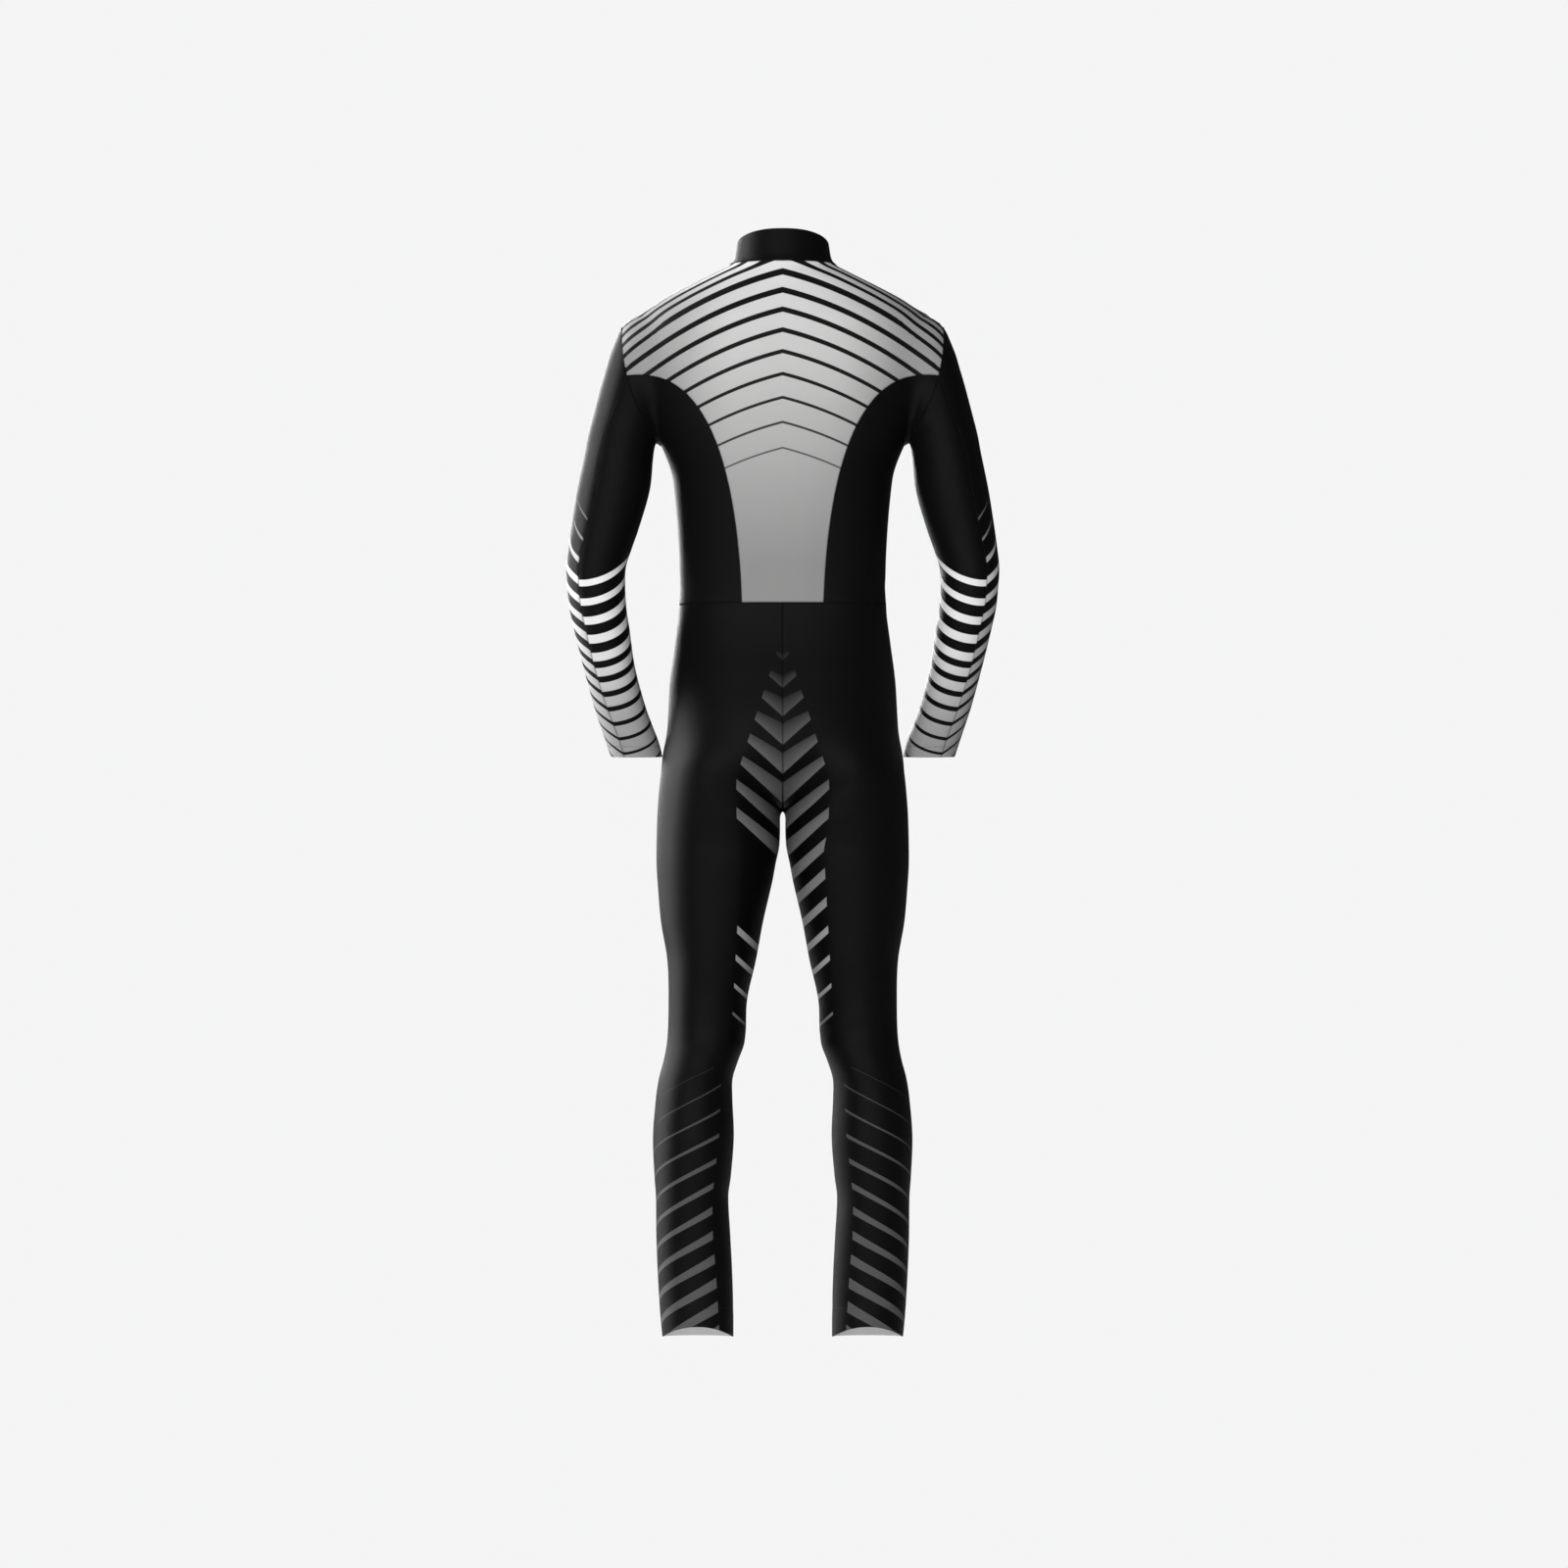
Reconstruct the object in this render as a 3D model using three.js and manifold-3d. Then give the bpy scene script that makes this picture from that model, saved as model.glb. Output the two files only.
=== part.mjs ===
// A one-piece ski race suit in its worn shape with nobody in it, standing collar to ankle hems.
// Millimetres, +Z up, +X the wearer's right, +Y the wearer's front.
// Origin: middle of the neck opening, level with the collar seam at centre back.
//
// One smooth body form is made of stacks of ovals (trunk, neck, arm, leg) that blend into each other.
// Every cloth piece is a grid of points on that form between its seams, thickened inwards.

import * as THREE from "three";
import { mergeVertices } from "three/addons/utils/BufferGeometryUtils.js";
import Module from "manifold-3d";

const CLOTH = 1.5; // cloth thickness, inwards from the form
const SEAM_GAP = 0.3; // space between two pieces at a seam
const WAIST_Z = -450; // height of the waist seam
const HEM_Z = -1412; // height of the ankle hems at the sides
const HEM_NOTCH = 14; // how much higher the ankle hems are at the back
const FRONT_EDGE = 5.5; // half of the zip's slot at the centre front

const NECK_Y = 6; // the neck's axis lies this far in front of the origin
const NECKLINE_DROP = 40; // how much lower the neckline is at the front
const COLLAR_BACK = 43; // height of the collar's top edge at the back
const COLLAR_FALL = 41; // how much lower the collar's top edge is at the front
const COLLAR_EVEN = 1.2; // above 1 keeps the top edge level for longer round the back
const SHOULDER_TURN = 100; // degrees round the neck from centre back to the shoulder seam

const ARMHOLE = { x: 212, z: -86, run: 146, rise: 45, power: 2.2, middle: -165 };
const ARMHOLE_TURN = { shoulder: -12, back: 77, under: 180 }; // degrees: top 0, back 90, bottom 180

const FUNNEL_PULL = [
  [110, -138],
  [60, -250],
]; // x and z of the two handles of the back panel's side seam
const FUNNEL_FOOT = 53.5; // half width of the back panel at the waist

const SLEEVE_TOP_Z = -262; // first full ring of the sleeve
const ELBOW_Z = -430;
const CUFF_Z = -649; // middle of the cuff
const SLEEVE_LIFT = 10; // tilt of the first rings, higher on the outside
const CUFF_DROP = 2; // tilt of the last ring, lower at the back
const SLEEVE_TURN = { elbow: 28, shoulder: 95, front: 225, under: 270 }; // seam places round the sleeve

const SEAT_Z = -640; // centre that the seat seam curves round
const CROTCH_Z = -722;

const RELAX_PASSES = 30;

const COUNT = {
  neckBack: 8,
  neckFront: 8,
  shoulder: 5,
  collar: 3,
  armholeBack: 5,
  armholeUnder: 6,
  armholeFront: 10,
  body: 12,
  cap: 6,
  sleeve: 14,
  legAcross: 10,
  legSeat: 6,
  legCurve: 4,
  legDown: 24,
};

// Trunk ovals: height, half width, depth in front, depth behind, squareness.
const TRUNK = {
  columns: ["z", "half", "front", "back", "power"],
  rows: [
    [-2, 69, 46, 50, 2.0],
    [-15, 95, 56, 60, 2.0],
    [-31, 127, 63, 68, 2.0],
    [-48, 158.5, 70, 76, 2.0],
    [-68, 185.5, 78, 84, 2.1],
    [-90, 201, 86, 91, 2.1],
    [-120, 205, 97, 99, 2.2],
    [-160, 198, 110, 106, 2.2],
    [-200, 180, 118, 108, 2.3],
    [-240, 160, 121, 106, 2.4],
    [-273, 147, 119, 102, 2.4],
    [-300, 142.5, 115, 98, 2.4],
    [-350, 138, 108, 89, 2.4],
    [-400, 135.5, 103, 81, 2.4],
    [-450, 135.5, 101, 79, 2.4],
    [-500, 141.5, 103, 86, 2.4],
    [-550, 148, 104, 100, 2.4],
    [-600, 151, 101, 114, 2.4],
    [-640, 154, 94, 118, 2.4],
    [-680, 160, 88, 115, 2.3],
    [-718, 163, 84, 108, 2.3],
  ],
  low: -718,
  lowRound: 80,
};

// Neck ovals about the neck's own axis: height, half width, depth in front, depth behind.
const NECK = {
  columns: ["z", "half", "front", "back"],
  rows: [
    [80, 56, 57, 53],
    [50, 58, 59, 55],
    [25, 61, 61, 57],
    [0, 64.5, 64, 59],
    [-60, 66, 66, 60],
  ],
  y: NECK_Y,
};

// Arm ovals: height, inner edge, outer edge, middle front to back, half depth.
const ARM = {
  columns: ["z", "inner", "outer", "y", "deep"],
  rows: [
    [-72, 146, 226, -4, 44],
    [-100, 148, 224, -4.5, 46],
    [-127, 150, 230, -5.5, 50],
    [-160, 152, 239.5, -6.5, 54],
    [-200, 158, 250, -8, 57],
    [-228, 164, 257, -9, 57],
    [-248, 169.5, 260.6, -10, 57],
    [-299, 174.8, 270.9, -12, 55],
    [-351, 189.6, 279, -13, 52],
    [-377, 198.7, 282.5, -13.5, 51],
    [-402, 206.4, 285, -14, 50],
    [-428, 207, 283.5, -13, 50],
    [-454, 205.8, 281, -9, 49],
    [-480, 201.9, 275.4, -3, 47],
    [-531, 194.8, 263, 9, 42],
    [-583, 181, 249, 23, 37],
    [-609, 171.5, 240.6, 30, 35],
    [-630, 163.5, 233.5, 35, 34],
    [-656, 157, 225, 41, 34],
  ],
  high: -72,
  highRound: 55,
};

// Leg ovals: height, inner edge, outer edge, middle front to back, depth in front, depth behind.
const LEG = {
  columns: ["z", "inner", "outer", "y", "front", "back"],
  rows: [
    [-560, 6, 138, 0, 92, 96],
    [-600, 6, 145, 0, 92, 106],
    [-640, 5, 153, 0, 90, 114],
    [-660, 4.5, 158, 0, 89, 115],
    [-680, 4, 161, 0, 88, 113],
    [-722, 4, 164.5, 0, 84, 102],
    [-765, 4.5, 165.8, 0, 81, 92],
    [-792, 9.7, 165.8, 0, 80, 88],
    [-815, 14, 164.5, 0, 79, 84],
    [-867, 26, 160, 0, 76, 75],
    [-918, 35.5, 151.6, 0, 70, 67],
    [-970, 47, 150, 2, 63, 60],
    [-1022, 49.7, 151.6, 2, 58, 58],
    [-1048, 58, 156, 0, 54, 62],
    [-1073, 66, 162.5, -2, 51, 66],
    [-1099, 66.4, 166.4, -4, 49, 69],
    [-1150, 64.5, 170.3, -6, 49, 70],
    [-1202, 68.4, 168.3, -8, 49, 64],
    [-1228, 71.6, 166.4, -9, 48, 60],
    [-1280, 69, 165.8, -10, 48, 54],
    [-1331, 66.4, 163.8, -10, 49, 50],
    [-1383, 65, 160.6, -10, 49, 49],
    [-1420, 65, 157, -10, 49, 49],
  ],
  high: -560,
  highRound: 110,
};

const BLEND = { neck: 14, leg: 16 }; // widths over which the neck and the legs blend with the trunk

// The arm blends less and less with the trunk towards the armpit and is apart from it below.
const ARM_BLEND = {
  columns: ["z", "width"],
  rows: [
    [-60, 24],
    [-150, 22],
    [-215, 9],
    [-290, 5],
    [-340, 0],
    [-400, 0],
  ],
};

const RAD = Math.PI / 180;
const mix = (a, b, t) => a + (b - a) * t;
const clamp = (value, low, high) => Math.min(high, Math.max(low, value));
const vec = (x, y, z) => new THREE.Vector3(x, y, z);

// The slope of one column at row i, from the rows on either side.
function slopeAt(rows, i, column) {
  const above = rows[Math.max(i - 1, 0)];
  const below = rows[Math.min(i + 1, rows.length - 1)];
  return (below[column] - above[column]) / (below[0] - above[0]);
}

// A table's values at height z by cubic interpolation; its rows run downwards.
function valuesAt(table, z) {
  const rows = table.rows;
  const height = clamp(z, rows[rows.length - 1][0], rows[0][0]);
  let i = 0;
  while (i < rows.length - 2 && height < rows[i + 1][0]) i += 1;
  const step = rows[i + 1][0] - rows[i][0];
  const t = (height - rows[i][0]) / step;
  const values = {};
  for (let c = 1; c < table.columns.length; c += 1) {
    const first = rows[i][c];
    const last = rows[i + 1][c];
    const start = slopeAt(rows, i, c) * step;
    const end = slopeAt(rows, i + 1, c) * step;
    const bend = t * t * (3 - 2 * t);
    values[table.columns[c]] =
      mix(first, last, bend) + t * (1 - t) * (start * (1 - t) - end * t);
  }
  return values;
}

// Distance, measured level, from an oval that is centred on (0, 0); negative inside it.
function ovalGap(dx, dy, halfX, halfY, power) {
  const reach = Math.hypot(dx, dy);
  if (reach < 1e-6) return -Math.min(halfX, halfY);
  const ratio = (Math.abs(dx / halfX) ** power + Math.abs(dy / halfY) ** power) ** (1 / power);
  return reach - reach / ratio;
}

// The share of its full size that a stack has at height z, less than 1 at a rounded end.
function endShare(stack, z) {
  let left = 1;
  if (stack.highRound) left = Math.min(left, (stack.high - z) / stack.highRound);
  if (stack.lowRound) left = Math.min(left, (z - stack.low) / stack.lowRound);
  const t = 1 - clamp(left, 0, 1);
  return Math.max(Math.sqrt(1 - t * t), 1e-3);
}

// Past the end of a stack the distance to that end counts too.
function withEnd(stack, gap, z) {
  const rows = stack.rows;
  const past = Math.max(z - rows[0][0], rows[rows.length - 1][0] - z, 0);
  return past > 0 ? Math.hypot(Math.max(gap, 0), past) : gap;
}

function trunkGap(x, y, z) {
  const oval = valuesAt(TRUNK, z);
  const share = endShare(TRUNK, z);
  const deep = y < 0 ? oval.back : oval.front;
  return withEnd(TRUNK, ovalGap(x, y, oval.half * share, deep * share, oval.power), z);
}

function neckGap(x, y, z) {
  const oval = valuesAt(NECK, z);
  const deep = y < NECK.y ? oval.back : oval.front;
  return withEnd(NECK, ovalGap(x, y - NECK.y, oval.half, deep, 2), z);
}

function armGap(x, y, z) {
  const oval = valuesAt(ARM, z);
  const share = endShare(ARM, z);
  const half = ((oval.outer - oval.inner) / 2) * share;
  const middle = (oval.outer + oval.inner) / 2;
  return withEnd(ARM, ovalGap(x - middle, y - oval.y, half, oval.deep * share, 2.1), z);
}

function legGap(x, y, z) {
  const oval = valuesAt(LEG, z);
  const share = endShare(LEG, z);
  const half = ((oval.outer - oval.inner) / 2) * share;
  const middle = (oval.outer + oval.inner) / 2;
  const deep = (y < oval.y ? oval.back : oval.front) * share;
  return withEnd(LEG, ovalGap(x - middle, y - oval.y, half, deep, 2.15), z);
}

// The smaller of two distances, rounded off where they are closer than the width.
function blend(a, b, width) {
  if (width < 0.1) return Math.min(a, b);
  const near = Math.max(width - Math.abs(a - b), 0) / width;
  return Math.min(a, b) - near * near * width * 0.25;
}

// Distance from the body form, negative inside; both sides are alike.
function form(x, y, z) {
  const side = Math.abs(x);
  const body = blend(trunkGap(side, y, z), neckGap(side, y, z), BLEND.neck);
  const withLeg = blend(body, legGap(side, y, z), BLEND.leg);
  return blend(withLeg, armGap(side, y, z), valuesAt(ARM_BLEND, z).width);
}

function slopeOfForm(p) {
  const e = 0.4;
  return vec(
    form(p.x + e, p.y, p.z) - form(p.x - e, p.y, p.z),
    form(p.x, p.y + e, p.z) - form(p.x, p.y - e, p.z),
    form(p.x, p.y, p.z + e) - form(p.x, p.y, p.z - e),
  ).multiplyScalar(0.5 / e);
}

const outward = (p) => slopeOfForm(p).normalize();

// The point of the form that is nearest to a guess.
function ontoForm(guess) {
  const p = guess.clone();
  for (let i = 0; i < 12; i += 1) {
    const gap = form(p.x, p.y, p.z);
    if (Math.abs(gap) < 1e-5) break;
    const slope = slopeOfForm(p);
    p.addScaledVector(slope, -clamp(gap, -12, 12) / Math.max(slope.lengthSq(), 0.2));
  }
  return p;
}

// The first place where a path that starts inside the form leaves it.
function leaving(pathAt) {
  const step = 2;
  let near = 0;
  const gapAt = (s) => {
    const p = pathAt(s);
    return form(p.x, p.y, p.z);
  };
  while (gapAt(near + step) < 0 && near < 400) near += step;
  let far = near + step;
  for (let i = 0; i < 30; i += 1) {
    const middle = (near + far) / 2;
    if (gapAt(middle) < 0) near = middle;
    else far = middle;
  }
  return pathAt((near + far) / 2);
}

// A level ray from (x, y) at height z; turn 0 points back, 90 to the side, 180 to the front.
function levelRay(x, y, z, turn) {
  const dx = Math.sin(turn * RAD);
  const dy = -Math.cos(turn * RAD);
  return leaving((s) => vec(x + dx * s, y + dy * s, z));
}

// Evenly spaced values from a to b, both included.
function steps(a, b, count) {
  return Array.from({ length: count + 1 }, (_, i) => mix(a, b, i / count));
}

// Seams.

const fallShare = (turn) => (1 - Math.cos(turn * RAD)) / 2;
const necklineZ = (turn) => -NECKLINE_DROP * fallShare(turn) ** 4;
const collarTopZ = (turn) => COLLAR_BACK - COLLAR_FALL * fallShare(turn) ** COLLAR_EVEN;

// A point of the neck; at the zip it lies on the zip's edge.
function neckPoint(turn, z) {
  if (turn < 179.9) return levelRay(0, NECK_Y, z, turn);
  return levelRay(FRONT_EDGE, NECK_Y, z, 180);
}

const BACK_TURNS = steps(0, SHOULDER_TURN, COUNT.neckBack);
const FRONT_TURNS = steps(SHOULDER_TURN, 175, COUNT.neckFront).map((turn, i) =>
  i === COUNT.neckFront ? 180 : turn,
);

// The armhole lies on a bent sheet that leans inwards as it goes down.
function armholePoint(turn) {
  const across = Math.sin(turn * RAD);
  const up = Math.cos(turn * RAD);
  return leaving((s) => {
    const z = ARMHOLE.middle + up * s;
    const t = clamp((ARMHOLE.z - z) / ARMHOLE.run, 0, 1);
    return vec(ARMHOLE.x - ARMHOLE.rise * t ** ARMHOLE.power, -across * s, z);
  });
}

const { shoulder: SHOULDER, back: BACK, under: UNDER } = ARMHOLE_TURN;
const armholeBack = steps(SHOULDER, BACK, COUNT.armholeBack).map(armholePoint);
const armholeUnder = steps(BACK, UNDER, COUNT.armholeUnder).map(armholePoint);
const armholeFront = steps(SHOULDER, UNDER - 360, COUNT.armholeFront).map(armholePoint);

const shoulderTip = armholeBack[0];
const armpit = armholeUnder[COUNT.armholeUnder];

// The shoulder seam runs straight in plan from the neckline to the armhole.
function shoulderSeam() {
  const start = neckPoint(SHOULDER_TURN, necklineZ(SHOULDER_TURN));
  return steps(0, 1, COUNT.shoulder).map((t, i) => {
    if (i === 0) return start;
    if (i === COUNT.shoulder) return shoulderTip;
    const x = mix(start.x, shoulderTip.x, t);
    const y = mix(start.y, shoulderTip.y, t);
    return leaving((s) => vec(x, y, -140 + s));
  });
}

// The side seam of the back panel: a smooth curve seen from behind, evenly divided.
function funnelSeam() {
  const start = armholeUnder[0];
  const curve = new THREE.CubicBezierCurve(
    new THREE.Vector2(start.x, start.z),
    new THREE.Vector2(...FUNNEL_PULL[0]),
    new THREE.Vector2(...FUNNEL_PULL[1]),
    new THREE.Vector2(FUNNEL_FOOT, WAIST_Z),
  );
  const points = curve.getSpacedPoints(COUNT.body);
  return points.map((p, i) => (i === 0 ? start : levelRay(p.x, 0, p.y, 0)));
}

function sideSeam() {
  const heights = steps(armpit.z, WAIST_Z, COUNT.body);
  return heights.map((z, i) => (i === 0 ? armpit : levelRay(60, 0, z, 90)));
}

const shoulderLine = shoulderSeam();
const funnelLine = funnelSeam();
const sideLine = sideSeam();

// Grids: lists of rows, each a list of { p, n } with a point of the form and the outward direction.

// The point of row r and column c on the sheet that four boundary lines span.
function spanned(top, right, bottom, left, r, c) {
  const rows = left.length - 1;
  const columns = top.length - 1;
  const v = r / rows;
  const u = c / columns;
  const p = top[c].clone().multiplyScalar(1 - v);
  p.addScaledVector(bottom[c], v);
  p.addScaledVector(left[r], 1 - u);
  p.addScaledVector(right[r], u);
  p.addScaledVector(top[0], -(1 - u) * (1 - v));
  p.addScaledVector(top[columns], -u * (1 - v));
  p.addScaledVector(bottom[0], -(1 - u) * v);
  return p.addScaledVector(bottom[columns], -u * v);
}

// Evens out the inner points of a grid and lays them back on the form.
function relax(points, passes) {
  const rows = points.length - 1;
  const columns = points[0].length - 1;
  for (let pass = 0; pass < passes; pass += 1) {
    for (let r = 1; r < rows; r += 1) {
      for (let c = 1; c < columns; c += 1) {
        const middle = points[r - 1][c].clone().add(points[r + 1][c]);
        middle.add(points[r][c - 1]).add(points[r][c + 1]).multiplyScalar(0.25);
        points[r][c] = ontoForm(middle);
      }
    }
  }
  return points;
}

const withNormals = (points) => points.map((row) => row.map((p) => ({ p, n: outward(p) })));

// A grid between four boundary lines, filled in evenly and laid on the form.
function patch(top, right, bottom, left) {
  const points = left.map((_, r) => top.map((__, c) => spanned(top, right, bottom, left, r, c)));
  return withNormals(relax(points, RELAX_PASSES));
}

const mirrored = (grid) =>
  grid.map((row) =>
    row.map(({ p, n }) => ({ p: vec(-p.x, p.y, p.z), n: vec(-n.x, n.y, n.z) })),
  );

// Joins a grid that starts at the middle line to its own mirror image.
function bothHalves(grid) {
  return mirrored(grid).map((row, r) => [...row.reverse().slice(0, -1), ...grid[r]]);
}

function backPanelGrid() {
  const neck = BACK_TURNS.map((turn) => neckPoint(turn, necklineZ(turn)));
  const side = [...shoulderLine, ...armholeBack.slice(1), ...funnelLine.slice(1)];
  const middle = steps(0, WAIST_Z, side.length - 1).map((z) => levelRay(0, 0, z, 0));
  middle[0] = neck[0];
  const waist = steps(0, FUNNEL_FOOT, COUNT.neckBack).map((x) => levelRay(x, 0, WAIST_Z, 0));
  return bothHalves(patch(neck, side, waist, middle));
}

function sideBackGrid() {
  const foot = sideLine[COUNT.body];
  const waist = steps(0, 1, COUNT.armholeUnder).map((t) => {
    const turn = mix(Math.atan2(FUNNEL_FOOT, -funnelLine[COUNT.body].y) / RAD, 90, t);
    return levelRay(0, 0, WAIST_Z, turn);
  });
  waist[0] = funnelLine[COUNT.body];
  waist[COUNT.armholeUnder] = foot;
  return patch(armholeUnder, sideLine, waist, funnelLine);
}

function frontGrid() {
  const neck = FRONT_TURNS.map((turn) => neckPoint(turn, necklineZ(turn))).reverse();
  const side = [...shoulderLine, ...armholeFront.slice(1), ...sideLine.slice(1)];
  const rows = side.length - 1;
  const edge = steps(neck[0].z, WAIST_Z, rows).map((z) => levelRay(FRONT_EDGE, 0, z, 180));
  edge[0] = neck[0];
  const turns = steps(180 - Math.atan2(FRONT_EDGE, edge[rows].y) / RAD, 90, COUNT.neckFront);
  const waist = turns.map((turn) => levelRay(0, 0, WAIST_Z, turn));
  waist[0] = edge[rows];
  waist[COUNT.neckFront] = sideLine[COUNT.body];
  return patch(neck, side, waist, edge);
}

function collarGrid() {
  const turns = [...BACK_TURNS, ...FRONT_TURNS.slice(1)];
  const rows = steps(1, 0, COUNT.collar).map((share) =>
    turns.map((turn) => {
      const p = neckPoint(turn, mix(necklineZ(turn), collarTopZ(turn), share));
      return { p, n: outward(p) };
    }),
  );
  return bothHalves(rows);
}

// The turn of each sleeve column round the sleeve: from the elbow seam over the outside and the front.
function sleeveTurns() {
  const { elbow, shoulder, front, under } = SLEEVE_TURN;
  const frontCount = COUNT.armholeFront - 3;
  return [
    ...steps(elbow, shoulder, COUNT.armholeBack),
    ...steps(shoulder, front, frontCount).slice(1),
    ...steps(front, under, 3).slice(1),
    ...steps(under, elbow + 360, COUNT.armholeUnder).slice(1),
  ];
}

// One point of a sleeve ring; the rings tilt with the sleeve.
function sleevePoint(middleZ, turn) {
  const lift = SLEEVE_LIFT * clamp((middleZ - ELBOW_Z) / (SLEEVE_TOP_Z - ELBOW_Z), 0, 1);
  const drop = CUFF_DROP * clamp((ELBOW_Z - middleZ) / (ELBOW_Z - CUFF_Z), 0, 1);
  const z = middleZ + lift * Math.sin(turn * RAD) - drop * Math.cos(turn * RAD);
  const oval = valuesAt(ARM, z);
  return levelRay((oval.inner + oval.outer) / 2, oval.y, z, turn);
}

// The whole sleeve from armhole to cuff; its first and last columns are the elbow seam.
function sleeveGrid() {
  const turns = sleeveTurns();
  const armhole = [
    ...[...armholeBack].reverse(),
    ...armholeFront.slice(1),
    ...[...armholeUnder].reverse().slice(1),
  ];
  const firstRing = turns.map((turn) => sleevePoint(SLEEVE_TOP_Z, turn));
  const grid = steps(0, 1, COUNT.cap).map((t, r) =>
    turns.map((_, c) => {
      const guess = armhole[c].clone().lerp(firstRing[c], t);
      const p = r === 0 || r === COUNT.cap ? guess : ontoForm(guess);
      return { p, n: outward(p) };
    }),
  );
  for (const z of steps(SLEEVE_TOP_Z, CUFF_Z, COUNT.sleeve).slice(1)) {
    grid.push(
      turns.map((turn) => {
        const p = sleevePoint(z, turn);
        return { p, n: outward(p) };
      }),
    );
  }
  return grid;
}

// Where a leg row starts: on the middle seam, or on the inner leg seam below the crotch.
function legRowStart(row, side) {
  const { legSeat, legCurve } = COUNT;
  if (row <= legSeat) {
    const z = mix(WAIST_Z, SEAT_Z, row / legSeat);
    const x = side > 0 && row < legSeat ? FRONT_EDGE : SEAM_GAP / 2;
    return levelRay(x, 0, z, side > 0 ? 180 : 0);
  }
  const turn = ((row - legSeat) / legCurve) * 90 * RAD;
  const x = SEAM_GAP / 2;
  const p = leaving((s) => vec(x, side * s * Math.cos(turn), SEAT_Z - s * Math.sin(turn)));
  if (row === legSeat + legCurve) p.y = (side * SEAM_GAP) / 2;
  return p;
}

// One leg row above the crotch: from the middle seam round to the side seam.
function hipRow(row, side) {
  const { legAcross, legSeat, legCurve } = COUNT;
  const start = legRowStart(row, side);
  const outerZ = mix(WAIST_Z, CROTCH_Z, row / (legSeat + legCurve));
  const legMiddle = (valuesAt(LEG, CROTCH_Z).inner + valuesAt(LEG, CROTCH_Z).outer) / 2;
  const x = legMiddle * clamp((row - legSeat) / legCurve, 0, 1);
  const firstTurn = Math.atan2(start.x - x, Math.abs(start.y)) / RAD;
  return steps(0, 1, legAcross).map((t, i) => {
    if (i === 0) return start;
    const z = mix(outerZ, start.z, (1 - t) ** 1.5);
    const turn = mix(firstTurn, 90, t);
    return levelRay(x, 0, z, side > 0 ? 180 - turn : turn);
  });
}

// One leg row below the crotch: half a ring from the inner leg seam to the side seam.
function legRow(row, side) {
  const { legAcross, legDown } = COUNT;
  const level = mix(CROTCH_Z, HEM_Z, row / legDown);
  const oval = valuesAt(LEG, level);
  const x = (oval.inner + oval.outer) / 2;
  return steps(-90, 90, legAcross).map((turn) => {
    const notch = row === legDown && side < 0 ? HEM_NOTCH * Math.cos(turn * RAD) ** 2 : 0;
    return levelRay(x, oval.y, level + notch, side > 0 ? 180 - turn : turn);
  });
}

function legGrid(side) {
  const above = COUNT.legSeat + COUNT.legCurve;
  const rows = [];
  for (let row = 0; row <= above; row += 1) rows.push(hipRow(row, side));
  for (let row = 1; row <= COUNT.legDown; row += 1) rows.push(legRow(row, side));
  return rows.map((row, r) =>
    row.map((p, c) => {
      const n = outward(p);
      if (c === 0 && r <= above) n.setX(0).normalize();
      return { p, n };
    }),
  );
}

// Cloth walls.

const dropped = (v, along) => v.clone().addScaledVector(along, -v.dot(along));

// How a boundary point moves inwards over the piece to leave its half of the seam gap.
// The edges named are moved; "leftFrom" is the first row that moves on the left.
function edgeMove(grid, r, c, edges) {
  const rows = grid.length - 1;
  const columns = grid[0].length - 1;
  const half = SEAM_GAP / 2;
  const { p: at, n } = grid[r][c];
  const toward = (row, column) => dropped(grid[row][column].p.clone().sub(at), n).normalize();
  let down = null;
  let along = null;
  if (r === 0 && edges.top) down = toward(1, c);
  if (r === rows && edges.bottom) down = toward(rows - 1, c);
  if (c === 0 && edges.left && r >= (edges.leftFrom ?? 0)) along = toward(r, 1);
  if (c === columns && edges.right) along = toward(r, columns - 1);
  if (down && along) {
    const sine = Math.max(down.clone().cross(along).length(), 0.35);
    return down.add(along).multiplyScalar(half / sine);
  }
  if (down) {
    const line = grid[r][Math.min(c + 1, columns)].p.clone().sub(grid[r][Math.max(c - 1, 0)].p);
    return dropped(down, line.normalize()).setLength(half);
  }
  if (along) {
    const line = grid[Math.min(r + 1, rows)][c].p.clone().sub(grid[Math.max(r - 1, 0)][c].p);
    return dropped(along, line.normalize()).setLength(half);
  }
  return vec(0, 0, 0);
}

// The two triangles of a grid cell, split along its shorter diagonal.
function cellTriangles(points, a, b, c, d) {
  if (points[a].distanceToSquared(points[c]) <= points[b].distanceToSquared(points[d])) {
    return [a, b, c, a, c, d];
  }
  return [a, b, d, b, c, d];
}

function signedVolume(points, index) {
  let sum = 0;
  for (let i = 0; i < index.length; i += 3) {
    const [a, b, c] = [points[index[i]], points[index[i + 1]], points[index[i + 2]]];
    sum += a.dot(b.clone().cross(c));
  }
  return sum / 6;
}

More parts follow.
